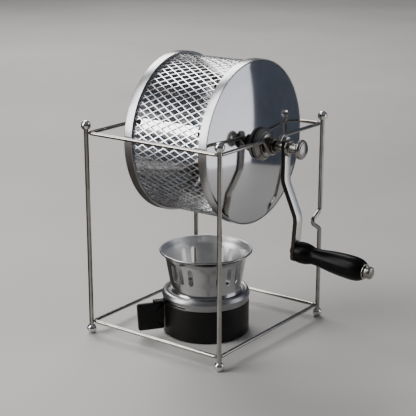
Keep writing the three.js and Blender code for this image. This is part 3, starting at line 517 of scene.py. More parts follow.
def woven_gauze():
    """Wire gauze: two sets of fine wires crossing at right angles."""
    n = Nodes("gauze_steel")
    place = n.place()
    x, y, _ = n.parts(place)
    waves = [n.math("SINE", n.math("MULTIPLY", part, 5200)) for part in (x, y)]
    # Painted shade: the colour is darker where the weave is low, between the wires. The soot noise darkens it
    # at random on top.
    height = n.math("ADD", n.math("MULTIPLY", n.math("MAXIMUM", *waves), 0.5), 0.5)
    soot = n.noise(place, 200, 4)
    return n.finish(
        n.between(n.math("MULTIPLY", height, soot), (0.08, 0.075, 0.07), (0.62, 0.6, 0.57)),
        n.spread(soot, 0.3, 0.5),
        n.bump(height, 0.8, 0.2),
    )


def card_felt(name, dark, light):
    n = Nodes(name)
    felt = n.noise(n.place(), 40, 4)
    return n.finish(n.between(felt, dark, light), n.spread(felt, 0.8, 0.95), metallic=0)


SHAFT_AXLE = ((0, 0, SHAFT_Z), (1, 0, 0))  # a point and a direction
BURNER_AXLE = ((BURNER.x, BURNER.y, 0), (0, 0, 1))

# Finishes, as (material, slot)
WIRE = mottled("wire_steel", (90, 4), (1700, 4, 0.7), (0.36, 0.345, 0.325), (0.48, 0.465, 0.445),
               rough=(0.12, 0.22), bump=(0.3, 0.006), wearing=0.5)
BALL = polished("polished_steel", (0.66, 0.655, 0.64), (0.8, 0.795, 0.78), (0.05, 0.12))
PIN = polished("pin_steel", (0.26, 0.26, 0.235), (0.4, 0.395, 0.36), (0.16, 0.28))
NET = mottled("bright_mesh", (260, 3), (2400, 4, 0.7), (0.72, 0.72, 0.725), (0.9, 0.9, 0.91),
              rough=(0.2, 0.36), bump=(0.35, 0.012), shading=0.65, wearing=0.65)
DISC = spun("mirror_disc", SHAFT_AXLE, (0.55, 0.55, 0.56), (0.6, 0.6, 0.61), (0.06, 0.095),
            lines=900, strength=0.03, depth=0.004)
BAND = spun("band_steel", SHAFT_AXLE, (0.46, 0.46, 0.465), (0.58, 0.58, 0.585), (0.24, 0.34))
TURNED = spun("turned_steel", SHAFT_AXLE, (0.3, 0.29, 0.275), (0.44, 0.425, 0.405), (0.18, 0.28))
SHEET = polished("sheet_steel", (0.7, 0.7, 0.7), (0.84, 0.84, 0.84), (0.16, 0.3), grain=1200, depth=0.008)
BUSH = spun("bush_bronze", SHAFT_AXLE, (0.16, 0.14, 0.12), (0.28, 0.25, 0.215), (0.18, 0.3))
ARM = brushed_arm()
COVER = spun("spun_cover", BURNER_AXLE, (0.36, 0.36, 0.36), (0.46, 0.46, 0.465), (0.3, 0.38), strength=0.12)
CUP = cup_metal()
ENAMEL = mottled("black_enamel", (70, 5, 0.6), (420, 3), (0.007, 0.006, 0.006), (0.013, 0.011, 0.01),
                 rough=(0.3, 0.44), bump=(0.2, 0.02), metallic=0)
GRIP = mottled("grip_black", (120, 4, 0.6), (1500, 3), (0.004, 0.004, 0.0045), (0.009, 0.009, 0.0095),
               rough=(0.28, 0.36), bump=(0.12, 0.006), metallic=0, gloss=0.25)
FIBRE = white_fibre()
GAUZE = woven_gauze()


# Shapes, as (points, faces)


def softened(profile, radius, steps=4, closed=False):
    """The profile with its corners rounded."""
    count = len(profile)
    result = []
    for i, at in enumerate(profile):
        if not closed and i in (0, count - 1):
            result.append(at)
            continue
        here = Vector(at)
        back = Vector(profile[i - 1]) - here
        ahead = Vector(profile[(i + 1) % count]) - here
        half = back.angle(ahead) / 2
        if half > radians(STRAIGHT):
            result.append(at)
            continue
        setback = min(radius / tan(half), ROUND_REACH * back.length, ROUND_REACH * ahead.length)
        start = here + back.normalized() * setback
        end = here + ahead.normalized() * setback
        for k in range(steps + 1):
            t = k / steps
            result.append(tuple(start * (1 - t) ** 2 + here * (2 * t * (1 - t)) + end * t ** 2))
    return result


def looped(profile, radius, steps=3):
    """A closed profile with its corners rounded."""
    return softened(profile, radius, steps, closed=True)


def shifted(profile, x, y):
    return [(x + a, y + b) for a, b in profile]


def tube(inner, outer, low, high):
    """The profile of a tube, or of a rod when its inner radius is 0."""
    return [(inner, low), (outer, low), (outer, high), (inner, high)]


def arc(centre, radius, start, end, steps=ARC_STEPS):
    angles = [radians(start + (end - start) * i / steps) for i in range(steps + 1)]
    return [(centre[0] + radius * cos(a), centre[1] + radius * sin(a)) for a in angles]


def curved(centre, inner, outer, start, end, steps):
    """The outline of a block between two radii and two angles round a centre, and its middle."""
    outline = arc(centre, outer, start, end, steps) + arc(centre, inner, end, start, steps)
    return outline, arc(centre, (inner + outer) / 2, start, end, 2)[1]


def turned(profile, sides=TURNED_SIDES):
    """A profile of (radius, along) turned round the Z axis. A profile that leaves the axis is a ring."""
    points, faces, rings = [], [], []
    for radius, along in profile:
        if radius < TINY:
            rings.append([len(points)] * sides)
            points.append((0, 0, along))
            continue
        rings.append(range(len(points), len(points) + sides))
        for i in range(sides):
            angle = 2 * pi * i / sides
            points.append((radius * cos(angle), radius * sin(angle), along))
    pairs = list(zip(rings, rings[1:]))
    if profile[0][0] > TINY and profile[-1][0] > TINY:
        pairs.append((rings[-1], rings[0]))
    for a, b in pairs:
        for i in range(sides):
            k = (i + 1) % sides
            face = [a[i], a[k], b[k], b[i]]
            face = [v for j, v in enumerate(face) if v != face[j - 1]]
            if len(face) > 2:
                faces.append(face)
    return points, faces


def moved(shape, matrix):
    points, faces = shape
    return [matrix @ Vector(p) for p in points], faces


def turn_at(place, angle, axis):
    return Matrix.Translation(place) @ Matrix.Rotation(radians(angle), 4, axis)


def across(shape, x, side=1):
    """Lays a turned shape on the shaft's axis, facing right (side 1) or left (side -1)."""
    return moved(shape, turn_at((x, 0, SHAFT_Z), 90 * side, "Y"))


def merged(*shapes):
    points, faces = [], []
    for more_points, more_faces in shapes:
        start = len(points)
        points += more_points
        faces += [[start + v for v in face] for face in more_faces]
    return points, faces


def swept(sections, ends):
    """Joins closed sections, given as lists of points, into a body whose caps meet in the two ends."""
    sides = len(sections[0])
    points = [point for section in sections for point in section]
    last = len(points) - sides
    faces = []
    for start in range(0, last, sides):
        for k in range(sides):
            a, b = start + k, start + (k + 1) % sides
            faces.append([a, b, b + sides, a + sides])
    for k in range(sides):
        after = (k + 1) % sides
        faces.append([len(points), after, k])
        faces.append([len(points) + 1, last + k, last + after])
    return points + list(ends), faces


def bent(corners):
    """Points along a wire that turns its inner corners at a bend radius. A corner is (x, y, z, bend)."""
    places = [Vector(c[:3]) for c in corners]
    points = [places[0]]
    for i in range(1, len(corners) - 1):
        here, bend = places[i], corners[i][3]
        back = (places[i - 1] - here).normalized()
        ahead = (places[i + 1] - here).normalized()
        half = back.angle(ahead) / 2
        turn = pi - 2 * half
        centre = here + (back + ahead).normalized() * (bend / sin(half))
        start = here + back * (bend / tan(half)) - centre
        end = here + ahead * (bend / tan(half)) - centre
        steps = ceil(degrees(turn) / BEND_STEP)
        for k in range(steps + 1):
            t = k / steps
            point = start * sin((1 - t) * turn) + end * sin(t * turn)
            points.append(centre + point / sin(turn))
    return points + [places[-1]]


def wire(route, radius, normal, chamfer=0):
    """A round wire. A chamfer dresses its ends, and then the sections in its bends are mitred too."""
    line = route
    radii = [radius] * len(route)
    if chamfer:
        near = route[0].lerp(route[1], chamfer / (route[1] - route[0]).length)
        far = route[-1].lerp(route[-2], chamfer / (route[-2] - route[-1]).length)
        line = [route[0], near, *route[1:-1], far, route[-1]]
        radii = [radius - chamfer, *radii, radius - chamfer]
    normal = Vector(normal)
    angles = [2 * pi * k / WIRE_SIDES for k in range(WIRE_SIDES)]
    sections = []
    for i, here in enumerate(line):
        back = here - line[max(i - 1, 0)]
        ahead = line[min(i + 1, len(line) - 1)] - here
        along = (back.normalized() + ahead.normalized()).normalized()
        normal = (normal - along * normal.dot(along)).normalized()
        side = along.cross(normal).normalized()
        wide = radii[i]
        if chamfer and 0 < i < len(line) - 1:
            wide /= cos(back.angle(ahead) / 2)
        sections.append([
            here + normal * (radii[i] * cos(a)) + side * (wide * sin(a))
            for a in angles
        ])
    return swept(sections, (line[0], line[-1]))


def prism(outline, centre, low, high):
    """An outline of (y, z) swept along x."""
    sections = [[Vector((x, *p)) for p in outline] for x in (low, high)]
    return swept(sections, [Vector((x, *centre)) for x in (low, high)])


def bevel_levels(low, high, edge):
    """Heights of a body with bevelled rims, each with how far its outline is drawn in there."""
    return (low, edge), (low + edge, 0), (high - edge, 0), (high, edge)


def rounded_box(low, high, edge):
    """A box whose edges are rounded in plan and bevelled at top and bottom, for sheet pieces."""
    sections = []
    for z, inset in bevel_levels(low[2], high[2], edge):
        left, right = low[0] + inset, high[0] - inset
        front, back = low[1] + inset, high[1] - inset
        corners = [(left, front), (right, front), (right, back), (left, back)]
        outline = looped(corners, edge - inset * RIM_SHRINK)
        sections.append([Vector((x, y, z)) for x, y in outline])
    centre = ((low[0] + high[0]) / 2, (low[1] + high[1]) / 2)
    return swept(sections, [Vector((*centre, z)) for z in (low[2], high[2])])


def slab(outline, low, high, edge):
    """A flat outline of (x, y) between two heights, its rims bevelled."""
    centre = Vector([sum(axis) / len(outline) for axis in zip(*outline)])
    reaches = [Vector(p) - centre for p in outline]
    sections = []
    for z, inset in bevel_levels(low, high, edge):
        sections.append([Vector((*(centre + r * (1 - inset / r.length)), z)) for r in reaches])
    return swept(sections, [Vector((*centre, z)) for z in (low, high)])


# Pieces


def linked(name, data):
    made = bpy.data.objects.new(name, data)
    bpy.context.scene.collection.objects.link(made)
    return made


def new_object(name, shape, sharp=SHARP):
    points, faces = shape
    mesh = bpy.data.meshes.new(name)
    mesh.from_pydata([tuple(Vector(p) * METRE) for p in points], [], faces)
    work = bmesh.new()
    work.from_mesh(mesh)
    bmesh.ops.remove_doubles(work, verts=work.verts, dist=SAME_PLACE)
    bmesh.ops.recalc_face_normals(work, faces=work.faces)
    work.to_mesh(mesh)
    work.free()
    mesh.shade_smooth()
    mesh.set_sharp_from_angle(angle=radians(sharp))
    return linked(name, mesh)


def dress(made, finish, body, *nodes):
    """Gives an object its finish and its body, and lets it stand for the CAD nodes named."""
    material, slot = finish
    made.data.materials.clear()
    made.data.materials.append(material)
    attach(made, body)
    if nodes:
        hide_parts(*nodes)
    return made


def add_piece(name, shape, finish, body, *nodes, sharp=SHARP):
    dress(new_object(name, shape, sharp), finish, body, *nodes)


def add_turned(name, profile, sides, finish, node, side=1):
    """A turned piece of the drum, laid from its CAD node's left end (side 1) or right end (side -1)."""
    add_piece(name, across(turned(profile, sides), end_x(node, -side), side), finish, "drum", node)


def carved(made, operation, *shapes):
    """Applies booleans with throw-away tools."""
    for shape in shapes:
        tool = new_object("tool", shape)
        step = made.modifiers.new("carve", "BOOLEAN")
        step.operation = operation
        step.solver = "MANIFOLD"
        step.object = tool
        bpy.context.view_layer.update()
        result = made.evaluated_get(bpy.context.evaluated_depsgraph_get())
        mesh = bpy.data.meshes.new_from_object(result)
        made.modifiers.clear()
        old = made.data
        made.data = mesh
        bpy.data.meshes.remove(old)
        bpy.data.objects.remove(tool)


def bevelled(made):
    step = made.modifiers.new("bevel", "BEVEL")
    step.width = HATCH_BEVEL * METRE
    step.segments = BEVEL_SEGMENTS
    step.limit_method = "ANGLE"
    step.angle_limit = radians(BEVEL_SHARP)


# Stand


def make_stand():
    for place in ("front_left", "front_right", "rear_right", "rear_left"):
        post = f"post_{place}"
        low, high = span(post)
        radius = half_width(post)
        x, y = (low.x + high.x) / 2, middle(f"top_ball_{place}").y
        ball = half_width(f"foot_ball_{place}")
        foot_z = span(f"foot_ball_{place}")[0].z + ball - FOOT_GROUND
        top_z = span(f"top_ball_{place}")[1].z - ball
        line = [(x, y, low.z), (x, y, high.z)]
        if place == "rear_right":
            tip_z = foot_z + KINK_HEIGHT
            line[1:1] = [
                (x, y, tip_z - KINK_FALL, KINK_BEND),
                (x, y - KINK_TIP, tip_z, KINK_BEND),
                (x, y, tip_z + KINK_RISE, KINK_BEND),
            ]
        shape = wire(bent(line), radius, (1, 0, 0), POST_CHAMFER)
        add_piece(f"post_wire_{place}", shape, WIRE, "stand", post)
        make_balls(place, x, y, ball - TRIM / 2, top_z, foot_z, radius)
        for level in ("top", "bottom"):
            make_bead(f"weld_{level}_{place}", x, y, middle(f"{level}_rail_front").z, radius)
    make_rails()


def make_balls(place, x, y, radius, top_z, foot_z, post_radius):
    """Round balls drilled for the post. The foot balls are ground flat underneath."""
    rim = -degrees(acos((post_radius + BALL_RIM_PLAY) / radius))
    mouth = post_radius + BALL_BORE_PLAY
    bore = [(0, BALL_BORE_FLOOR), (mouth, BALL_BORE_FLOOR)]
    cap = arc((0, 0), radius, rim, 90, BALL_STEPS)
    lip = softened([(mouth, BALL_BORE_MOUTH), cap[0], cap[1]], BALL_RIM_ROUND)
    top = turned([*bore, *lip[1:], *cap[2:-1], (0, radius)], BALL_SIDES)
    ground = degrees(asin((foot_z - FOOT_LIFT) / radius))
    cap = arc((0, 0), radius, rim, ground, FOOT_STEPS)
    foot = turned([*bore, *cap, (0, radius * sin(radians(ground)))], BALL_SIDES)
    top = moved(top, Matrix.Translation((x, y, top_z)))
    foot = moved(foot, turn_at((x, y, foot_z), 180, "X"))
    add_piece(f"ball_top_{place}", top, BALL, "stand", f"top_ball_{place}")
    add_piece(f"ball_foot_{place}", foot, BALL, "stand", f"foot_ball_{place}")


def make_bead(name, post_x, post_y, z, post_radius):
    """A small brazed bead where a ring's corner meets its post."""
    inward = Vector((copysign(1, STAND_X - post_x), copysign(1, -post_y), 0)).normalized()
    at = Vector((post_x, post_y, z)) + inward * (post_radius + BEAD_OFFSET)
    profile = [(0, -BEAD_RADIUS), *arc((0, 0), BEAD_RADIUS, -90, 90)[1:-1], (0, BEAD_RADIUS)]
    turn = turn_at(at, degrees(atan2(inward.y, inward.x)), "Z")
    bead = moved(turned(profile, WIRE_SIDES), turn @ Matrix.Diagonal(BEAD_STRETCH))
    add_piece(name, bead, WIRE, "stand")


def make_rails():
    flank = radians(CRADLE_FLANK)
    dip = CRADLE_BEND - CRADLE_DEPTH - CRADLE_BEND / cos(flank)
    shoulder = -dip / tan(flank)
    up = (0, 0, 1)
    for side, place in SIDES:
        for level in ("cradle", "bottom"):
            node = f"{level}_rail_{place}"
            high = span(node)[1]
            x = end_x(node, side) - side * RING_RADIUS
            y, z = high.y - RING_RADIUS, high.z - RING_RADIUS
            stub = x - side * (CORNER_BEND + CORNER_STUB)
            corners = [(stub, -y, z), (x, -y, z, CORNER_BEND), (x, y, z, CORNER_BEND), (stub, y, z)]
            if level == "cradle":
                corners[2:2] = [
                    (x, -shoulder, z, CRADLE_SHOULDER_BEND),
                    (x, 0, z + dip, CRADLE_BEND),
                    (x, shoulder, z, CRADLE_SHOULDER_BEND),
                ]
            add_piece(f"ring_{level}_{place}", wire(bent(corners), RING_RADIUS, up), WIRE, "stand", node)
    for node in ("top_rail_front", "top_rail_rear", "bottom_rail_front", "bottom_rail_rear"):
        low, high = span(node)
        _, y, z = middle(node)
        route = [Vector((low.x - RAIL_LAP, y, z)), Vector((high.x + RAIL_LAP, y, z))]
        add_piece(f"ring_{node}", wire(route, half_height(node), up, RAIL_CHAMFER), WIRE, "stand", node)


# Drum


def net_shape():
    """Expanded metal. Each hole is a diamond drawn in by half a strand, its corners slanted in depth."""
    inner = NET_OUTER - NET_THICKNESS
    half_pitch = NET_PITCH / 2
    half_angle = 180 / NET_COLUMNS
    half_wide = NET_OUTER * radians(half_angle)
    inset = half_pitch * half_wide / hypot(half_pitch, half_wide)
    opened = 1 - NET_STRAND / 2 / inset
    first = ceil((NET_LEFT - DRUM_X - NET_PHASE) / half_pitch - NET_CUT)
    last = int((NET_RIGHT - DRUM_X - NET_PHASE) / half_pitch)
    columns = 2 * NET_COLUMNS
    points, faces, places = [], [], {}

    def vertex(row, column, corner, layer):
        wrapped = column % columns
        key = (row, wrapped, corner, layer)
        if key not in places:
            along, round_drum = NET_CORNERS[corner]
            x = DRUM_X + NET_PHASE + half_pitch * (row + opened * along)
            angle = radians(NET_PHASE_ANGLE + half_angle * (wrapped + opened * round_drum))
            skin = NET_OUTER - NET_TILT / 2 if layer else inner + NET_TILT / 2
            places[key] = len(points)
            radius = skin - NET_TILT / 2 * round_drum
            x = min(max(x, NET_LEFT), NET_RIGHT)
            points.append((x, radius * cos(angle), SHAFT_Z + radius * sin(angle)))
        return places[key]

    def face(*corners):
        for layer in (0, 1):
            faces.append([vertex(*c, layer) for c in corners])

    def wall(a, b):
        faces.append([vertex(*a, 0), vertex(*b, 0), vertex(*b, 1), vertex(*a, 1)])

    for row in range(first, last + 1):
        for column in range(row % 2, columns, 2):
            hole = [(row, column, corner) for corner in range(4)]
            if row == first:
                face(hole[0], hole[1], hole[3])
                wall(hole[1], hole[3])
            elif row == last:
                face(hole[2], hole[3], hole[1])
                wall(hole[3], hole[1])
            else:
                for corner in range(4):
                    wall(hole[corner], hole[corner - 1])
            if row < last:
                face(hole[1], hole[0], (row + 1, column + 1, 3), (row + 1, column + 1, 2))
                face(hole[0], hole[3], (row + 1, column - 1, 2), (row + 1, column - 1, 1))
        for column in range((row + 1) % 2, columns, 2):
            up, down = (row, column + 1, 3), (row, column - 1, 1)
            ahead, behind = (row + 1, column, 2), (row - 1, column, 0)
            if row == first:
                face(ahead, up, down)
                wall(up, down)
            elif row == last:
                face(up, behind, down)
                wall(down, up)
            else:
                face(ahead, up, behind, down)
    return points, faces


def wall_block(low_radius, high_radius, half_angle, half_length):
    """A curved block of the drum's wall round the hatch."""
    start, end = HATCH_ANGLE - half_angle, HATCH_ANGLE + half_angle
    outline, centre = curved((0, SHAFT_Z), low_radius, high_radius, start, end, BLOCK_STEPS)
    return prism(outline, centre, DRUM_X - half_length, DRUM_X + half_length)


def barrel_shape(x, side, pin_at, pin_angle):
    """A hinge barrel with its web down to the door (side -1) or the frame (side 1)."""
    half = (BARREL_LENGTH - BARREL_PLAY) / 2
    radius, bore = BARREL / 2, BARREL_BORE / 2
    profile = looped(tube(bore, radius, -half, half), BARREL_ROUND)
    at = (x, pin_at.y, pin_at.z)
    barrel = moved(turned(profile, BARREL_SIDES), turn_at(at, 90, "Y"))
    offset = -side * (radius - WEB / 2)
    low = (-half, offset - WEB / 2, -WEB_DEPTH)
    high = (half, offset + WEB / 2, -bore)
    web = moved(rounded_box(low, high, WEB_ROUND), turn_at(at, pin_angle - 90, "X"))
    return merged(barrel, web)


def make_hatch(net):
    """Makes the door in its frame, and gives the block that the net leaves free for them."""
    door_angle = degrees(HATCH_WIDTH / 2 / NET_OUTER)
    per_mm = degrees(1 / NET_OUTER)  # of turn for each millimetre round the drum
    half = HATCH_LENGTH / 2
    inner, outer = NET_OUTER - NET_SEAT - HATCH_PROUD, NET_OUTER + HATCH_PROUD
    frame_angle = door_angle + per_mm * (GAP + HATCH_FRAME_BORDER)
    frame_half = half + GAP + HATCH_FRAME_BORDER
    pin_at = middle("hatch_pin")
    pin_angle = degrees(atan2(pin_at.z - SHAFT_Z, pin_at.y)) % 360

    def cutter(angle, length):
        return wall_block(inner - CLEAR, outer + CLEAR, angle, length)

    leaf = new_object("hatch_leaf", net)
    carved(leaf, "INTERSECT", cutter(door_angle - per_mm * HATCH_LAP, half - HATCH_LAP))
    dress(leaf, NET, "hatch", "hatch_door")
    border = new_object("hatch_border", wall_block(inner, outer, door_angle, half))
    carved(border, "DIFFERENCE", cutter(door_angle - per_mm * HATCH_BORDER, half - HATCH_BORDER))
    bevelled(dress(border, BAND, "hatch"))
    surround = new_object("hatch_surround", wall_block(inner, outer, frame_angle, frame_half))
    carved(surround, "DIFFERENCE", cutter(door_angle + per_mm * GAP, half + GAP))
    bevelled(dress(surround, BAND, "drum", "hatch_frame"))

    frame_place = half + GAP - BARREL_LENGTH / 2
    door_place = frame_place - BARREL_LENGTH - GAP
    for mark, side, place, body in (("door", -1, door_place, "hatch"), ("frame", 1, frame_place, "drum")):
        barrels = merged(*[barrel_shape(DRUM_X + s * place, side, pin_at, pin_angle) for s in (-1, 1)])
        add_piece(f"hatch_{mark}_barrels", barrels, SHEET, body)
    pin_half = half_width("hatch_pin")
    pin = softened(tube(0, HATCH_PIN / 2, -pin_half, pin_half), HATCH_PIN_ROUND)
    pin = moved(turned(pin, WIRE_SIDES), turn_at(pin_at, 90, "Y"))
    add_piece("hatch_hinge_pin", pin, BALL, "drum", "hatch_pin")

    tab_angle = HATCH_ANGLE - door_angle + WEB * per_mm
    low = (-TAB_WIDTH / 2, -WEB / 2, outer - TAB_SINK)
    high = (TAB_WIDTH / 2, WEB / 2, outer + TAB_RISE)
    tab = moved(rounded_box(low, high, TAB_ROUND), turn_at((DRUM_X, 0, SHAFT_Z), tab_angle - 90, "X"))
    add_piece("hatch_tab", tab, SHEET, "hatch")
    return cutter(frame_angle - per_mm * HATCH_LAP, frame_half - HATCH_LAP)


def make_wall():
    net = net_shape()
    window = make_hatch(net)
    wall = new_object("drum_net", net)
    carved(wall, "DIFFERENCE", window)
    dress(wall, NET, "drum", *NET_PANELS)


def make_ends():
    seat = DISC_THICKNESS + GAP
    lip = DRUM_RADIUS - LIP_WIDTH
    edge = lip - GAP
    inner = DRUM_RADIUS - BAND_THICKNESS
    face, back = [], []
    for i in range(DISC_STEPS + 1):
        radius = BORE_RADIUS + (edge - BORE_RADIUS) * i / DISC_STEPS
        rise = DISC_DOME * (1 - (radius / edge) ** 2)
        face.append((radius, rise))
        back.append((radius, rise - DISC_THICKNESS))
    rim = softened([back[-2], back[-1], face[-1], face[-2]], DISC_EDGE)
    disc = turned([*back[:-1], *rim[1:-1], *face[-2::-1]], DRUM_SIDES)
    for side, place in SIDES:
        node = f"drum_band_{place}"
        outside, width = end_x(node, side), 2 * half_width(node)
        band = [(inner, 0), (lip, 0), (lip, seat + LIP_RISE)]
        band += [(DRUM_RADIUS, seat + LIP_RISE), (DRUM_RADIUS, -width), (inner, -width)]
        ring = across(turned(looped(band, BAND_EDGE, steps=4), DRUM_SIDES), outside, side)
        add_piece(f"band_{place}", ring, BAND, "drum", node)
        plate = across(disc, outside + side * seat, side)
        add_piece(f"disc_{place}", plate, DISC, "drum", f"end_disc_{place}")


def make_vanes():
    """Folded strips: a foot against the net and a blade that lifts the beans."""
    half = VANE_FOOT / 2
    seat = sqrt((NET_OUTER - NET_SEAT - GAP) ** 2 - half ** 2)
    left, blade = -half, VANE_SHEET - half
    foot, tip = seat - VANE_SHEET, seat - VANE_DEPTH
    fold = [(left, seat), (left, tip), (blade, tip), (blade, foot), (half, foot), (half, seat)]
    outline = looped(fold, VANE_ROUND)
    centre = (VANE_SHEET / 2 - half, seat - VANE_SHEET / 2)
    for i in range(VANE_COUNT):
        node = f"lifter_vane_{i + 1}"
        low, high = span(node)
        turn = turn_at((0, 0, SHAFT_Z), VANE_ANGLE + 90 * i - 90, "X")
        vane = moved(prism(outline, centre, low.x, high.x), turn)
        add_piece(f"vane_{i + 1}", vane, SHEET, "drum", node)


def make_shaft():
    axle = tube(0, half_height("shaft"), 0, 2 * half_width("shaft"))
    add_turned("axle", softened(axle, SHAFT_ROUND), SMALL_SIDES, TURNED, "shaft")
    for side, place in SIDES:
        node = f"hub_{place}"
        length, seat = 2 * half_width(node), BUSH_SEAT / 2
        profile = [(BORE_RADIUS, 0), *shifted(HUB_FLANGE, half_height(node), 0), *HUB_BOSS]
        profile += [*shifted(HUB_NOSE, seat, length), (BORE_RADIUS, length)]
        add_turned(f"hub_turned_{place}", looped(profile, HUB_ROUND), HUB_SIDES, TURNED, node, side)
        node = f"bearing_bush_{place}"
        half, flange = half_width(node), half_height(node)
        inside = half - BUSH_FLANGE
        spool = [(BUSH_BORE, -half), (flange, -half), (flange, -inside), (seat, -inside)]
        spool += [(seat, inside), (flange, inside), (flange, half), (BUSH_BORE, half)]
        low, high = span(node)
        bush = across(turned(looped(spool, BUSH_ROUND), SMALL_SIDES), (low.x + high.x) / 2)
        add_piece(f"bush_{place}", bush, BUSH, "bearings", node)
    for node in ("spacer_sleeve", "shaft_collar"):
        ring = tube(SLEEVE_BORE, half_height(node), 0, 2 * half_width(node))
        add_turned(f"{node}_turned", looped(ring, SLEEVE_ROUND), SMALL_SIDES, TURNED, node)


# Crank


def crank_shape(route):
    """A flat bar bent in the XZ plane, its edges rounded and its two ends round in plan."""
    lengths = [0]
    for a, b in zip(route, route[1:]):
        lengths.append(lengths[-1] + (b - a).length)
    total = lengths[-1]
    quarter = [radians(90 * i / CRANK_ROUND_STEPS) for i in range(CRANK_ROUND_STEPS + 1)]
    ends = [CRANK_ROUND * (1 - cos(a)) for a in quarter]
    marks = {*ends, *[total - e for e in ends]}
    marks.update(s for s in lengths if CRANK_ROUND < s < total - CRANK_ROUND)
    sections = []
    for mark in sorted(marks):
        i = max(k for k in range(len(lengths) - 1) if lengths[k] <= mark + TINY)
        share = (mark - lengths[i]) / (lengths[i + 1] - lengths[i])
        here = route[i].lerp(route[i + 1], share)
        before = route[i] if share > TINY or i == 0 else route[i - 1]
        along = (route[i + 1] - before).normalized()
        normal = Vector((along.z, 0, -along.x))
        from_end = min(mark, total - mark)
        half = CRANK_WIDTH / 2
        if from_end < CRANK_ROUND:
            half -= CRANK_ROUND - sqrt(CRANK_ROUND ** 2 - (CRANK_ROUND - from_end) ** 2)
        corner = min(CRANK_EDGE, half * CRANK_EDGE_SHARE)
        outline = rounded_section(half, CRANK_THICKNESS / 2, corner)
        sections.append([here + Vector((0, y, 0)) + normal * t for y, t in outline])
    return swept(sections, (route[0], route[-1]))


def rounded_section(half, half_thick, corner):
    points = []
    for sx, sy, start in ((1, 1, 0), (-1, 1, 90), (-1, -1, 180), (1, -1, 270)):
        centre = (sx * (half - corner), sy * (half_thick - corner))
        points += arc(centre, corner, start, start + 90, CRANK_EDGE_STEPS)
    return points


def make_crank():
    x = span("crank_arm")[0].x + CRANK_THICKNESS / 2
    low_step = CRANK_STEP_TOP + CRANK_STEP_LENGTH
    tip = CRANK_REACH + CRANK_END
    tip_x = x + CRANK_STEP - tan(radians(CRANK_LEAN)) * (tip - low_step)
    route = bent([
        (x, 0, SHAFT_Z + CRANK_END),
        (x, 0, SHAFT_Z - CRANK_STEP_TOP, CRANK_BEND),
        (x + CRANK_STEP, 0, SHAFT_Z - low_step, CRANK_BEND),
        (tip_x, 0, SHAFT_Z - tip),
    ])
    add_piece("crank_bar", crank_shape(route), ARM, "drum", "crank_arm", sharp=FLAT_SHARP)

    radius, length = half_height("knob_nut"), 2 * half_width("knob_nut")
    rim = (length - KNOB_NECK_LENGTH - KNOB_DOME) / 2
    bulge = arc((radius - rim, KNOB_NECK_LENGTH + rim), rim, -90, 90)
    dome = [(radius * out, length - KNOB_DOME * down) for out, down in KNOB_DOME_SHARES]
    profile = [*KNOB_HOLE, *KNOB_FLANGE, *KNOB_NECK, *bulge, *dome, (0, length)]
    add_turned("knob", profile, HUB_SIDES, TURNED, "knob_nut")
    make_grip()


def make_grip():
    joint = next(j for j in frame["joints"] if j["name"] == "grip_spin")
    along = Vector(joint["axis"]).normalized()
    at = Vector(joint["pos_m"]) / METRE
    turn = Matrix.Translation(at) @ Vector((0, 0, 1)).rotation_difference(along).to_matrix().to_4x4()
    surface = smooth_line([
        (GRIP_DIAMETER / 2 * r, GRIP_START + s * GRIP_LENGTH)
        for s, r in zip(GRIP_LENGTH_SHARES, GRIP_RADIUS_SHARES)
    ])
    end = GRIP_START + GRIP_LENGTH
    profile = [(GRIP_BORE, GRIP_START), *surface, (GRIP_BORE, end)]
    add_piece("grip_handle", moved(turned(profile, HUB_SIDES), turn), GRIP, "grip", "grip", sharp=GRIP_SHARP)
    low = end + GAP
    washer = tube(WASHER_BORE, WASHER_RADIUS, low, low + WASHER_THICKNESS)
    washer = moved(turned(looped(washer, WASHER_ROUND), SMALL_SIDES), turn)
    add_piece("grip_end_washer", washer, PIN, "drum", "grip_washer")
    head = low + WASHER_THICKNESS + GAP
    rivet = -CRANK_THICKNESS / 2 - GAP
    pin = [(RIVET_DIAMETER * out, rivet - RIVET_HEIGHT * down) for out, down in RIVET_SHARES]
    pin += [(PIN_DIAMETER / 2, rivet), (PIN_DIAMETER / 2, head)]
    pin += [(HEAD_DIAMETER / 2 - inset, head + s) for inset, s in HEAD_OUTLINE]
    pin.append((0, pin[-1][1]))
    add_piece("grip_rivet", moved(turned(pin, SMALL_SIDES), turn), PIN, "drum", "grip_pin")


def smooth_line(points):
    """A Catmull-Rom line through the points."""
    line = []
    padded = [points[0], *points, points[-1]]
    for places in zip(padded, padded[1:], padded[2:], padded[3:]):
        a, b, c, d = (Vector(p) for p in places)
        cubic = -a + 3 * b - 3 * c + d
        square = 2 * a - 5 * b + 4 * c - d
        for k in range(GRIP_STEPS):
            t = k / GRIP_STEPS
            line.append(tuple((cubic * t ** 3 + square * t ** 2 + (c - a) * t + 2 * b) / 2))
    return line + [points[-1]]


# Burner


def sector(low, high, start, sweep, inner, outer):
    """A block between two heights, two radii and two angles round the burner's axis."""
    outline, centre = curved(BURNER.xy, inner, outer, start, start + sweep, SLOT_STEPS)
    sections = [[Vector((*p, z)) for p in outline] for z in (low, high)]
    return swept(sections, [Vector((*centre, z)) for z in (low, high)])


def make_base():
    radius, top = half_width("burner_base"), span("burner_base")[1].z
    inner = radius - BASE_WALL
    profile = [(0, BASE_UNDERSIDE[0][1]), *shifted(BASE_UNDERSIDE, radius, 0)]
    profile += [(radius, top), (inner, top), (inner, BASE_FLOOR), (0, BASE_FLOOR)]
    bowl = moved(turned(softened(profile, BASE_ROUND, steps=5)), ON_BURNER)
    add_piece("base_bowl", bowl, ENAMEL, "burner", "burner_base")
    for node, finish in (("fuel_pot", SHEET), ("wadding", FIBRE), ("wick_gauze", GAUZE)):
        materials = frame["nodes"][node].data.materials
        materials.clear()
        materials.append(finish[0])


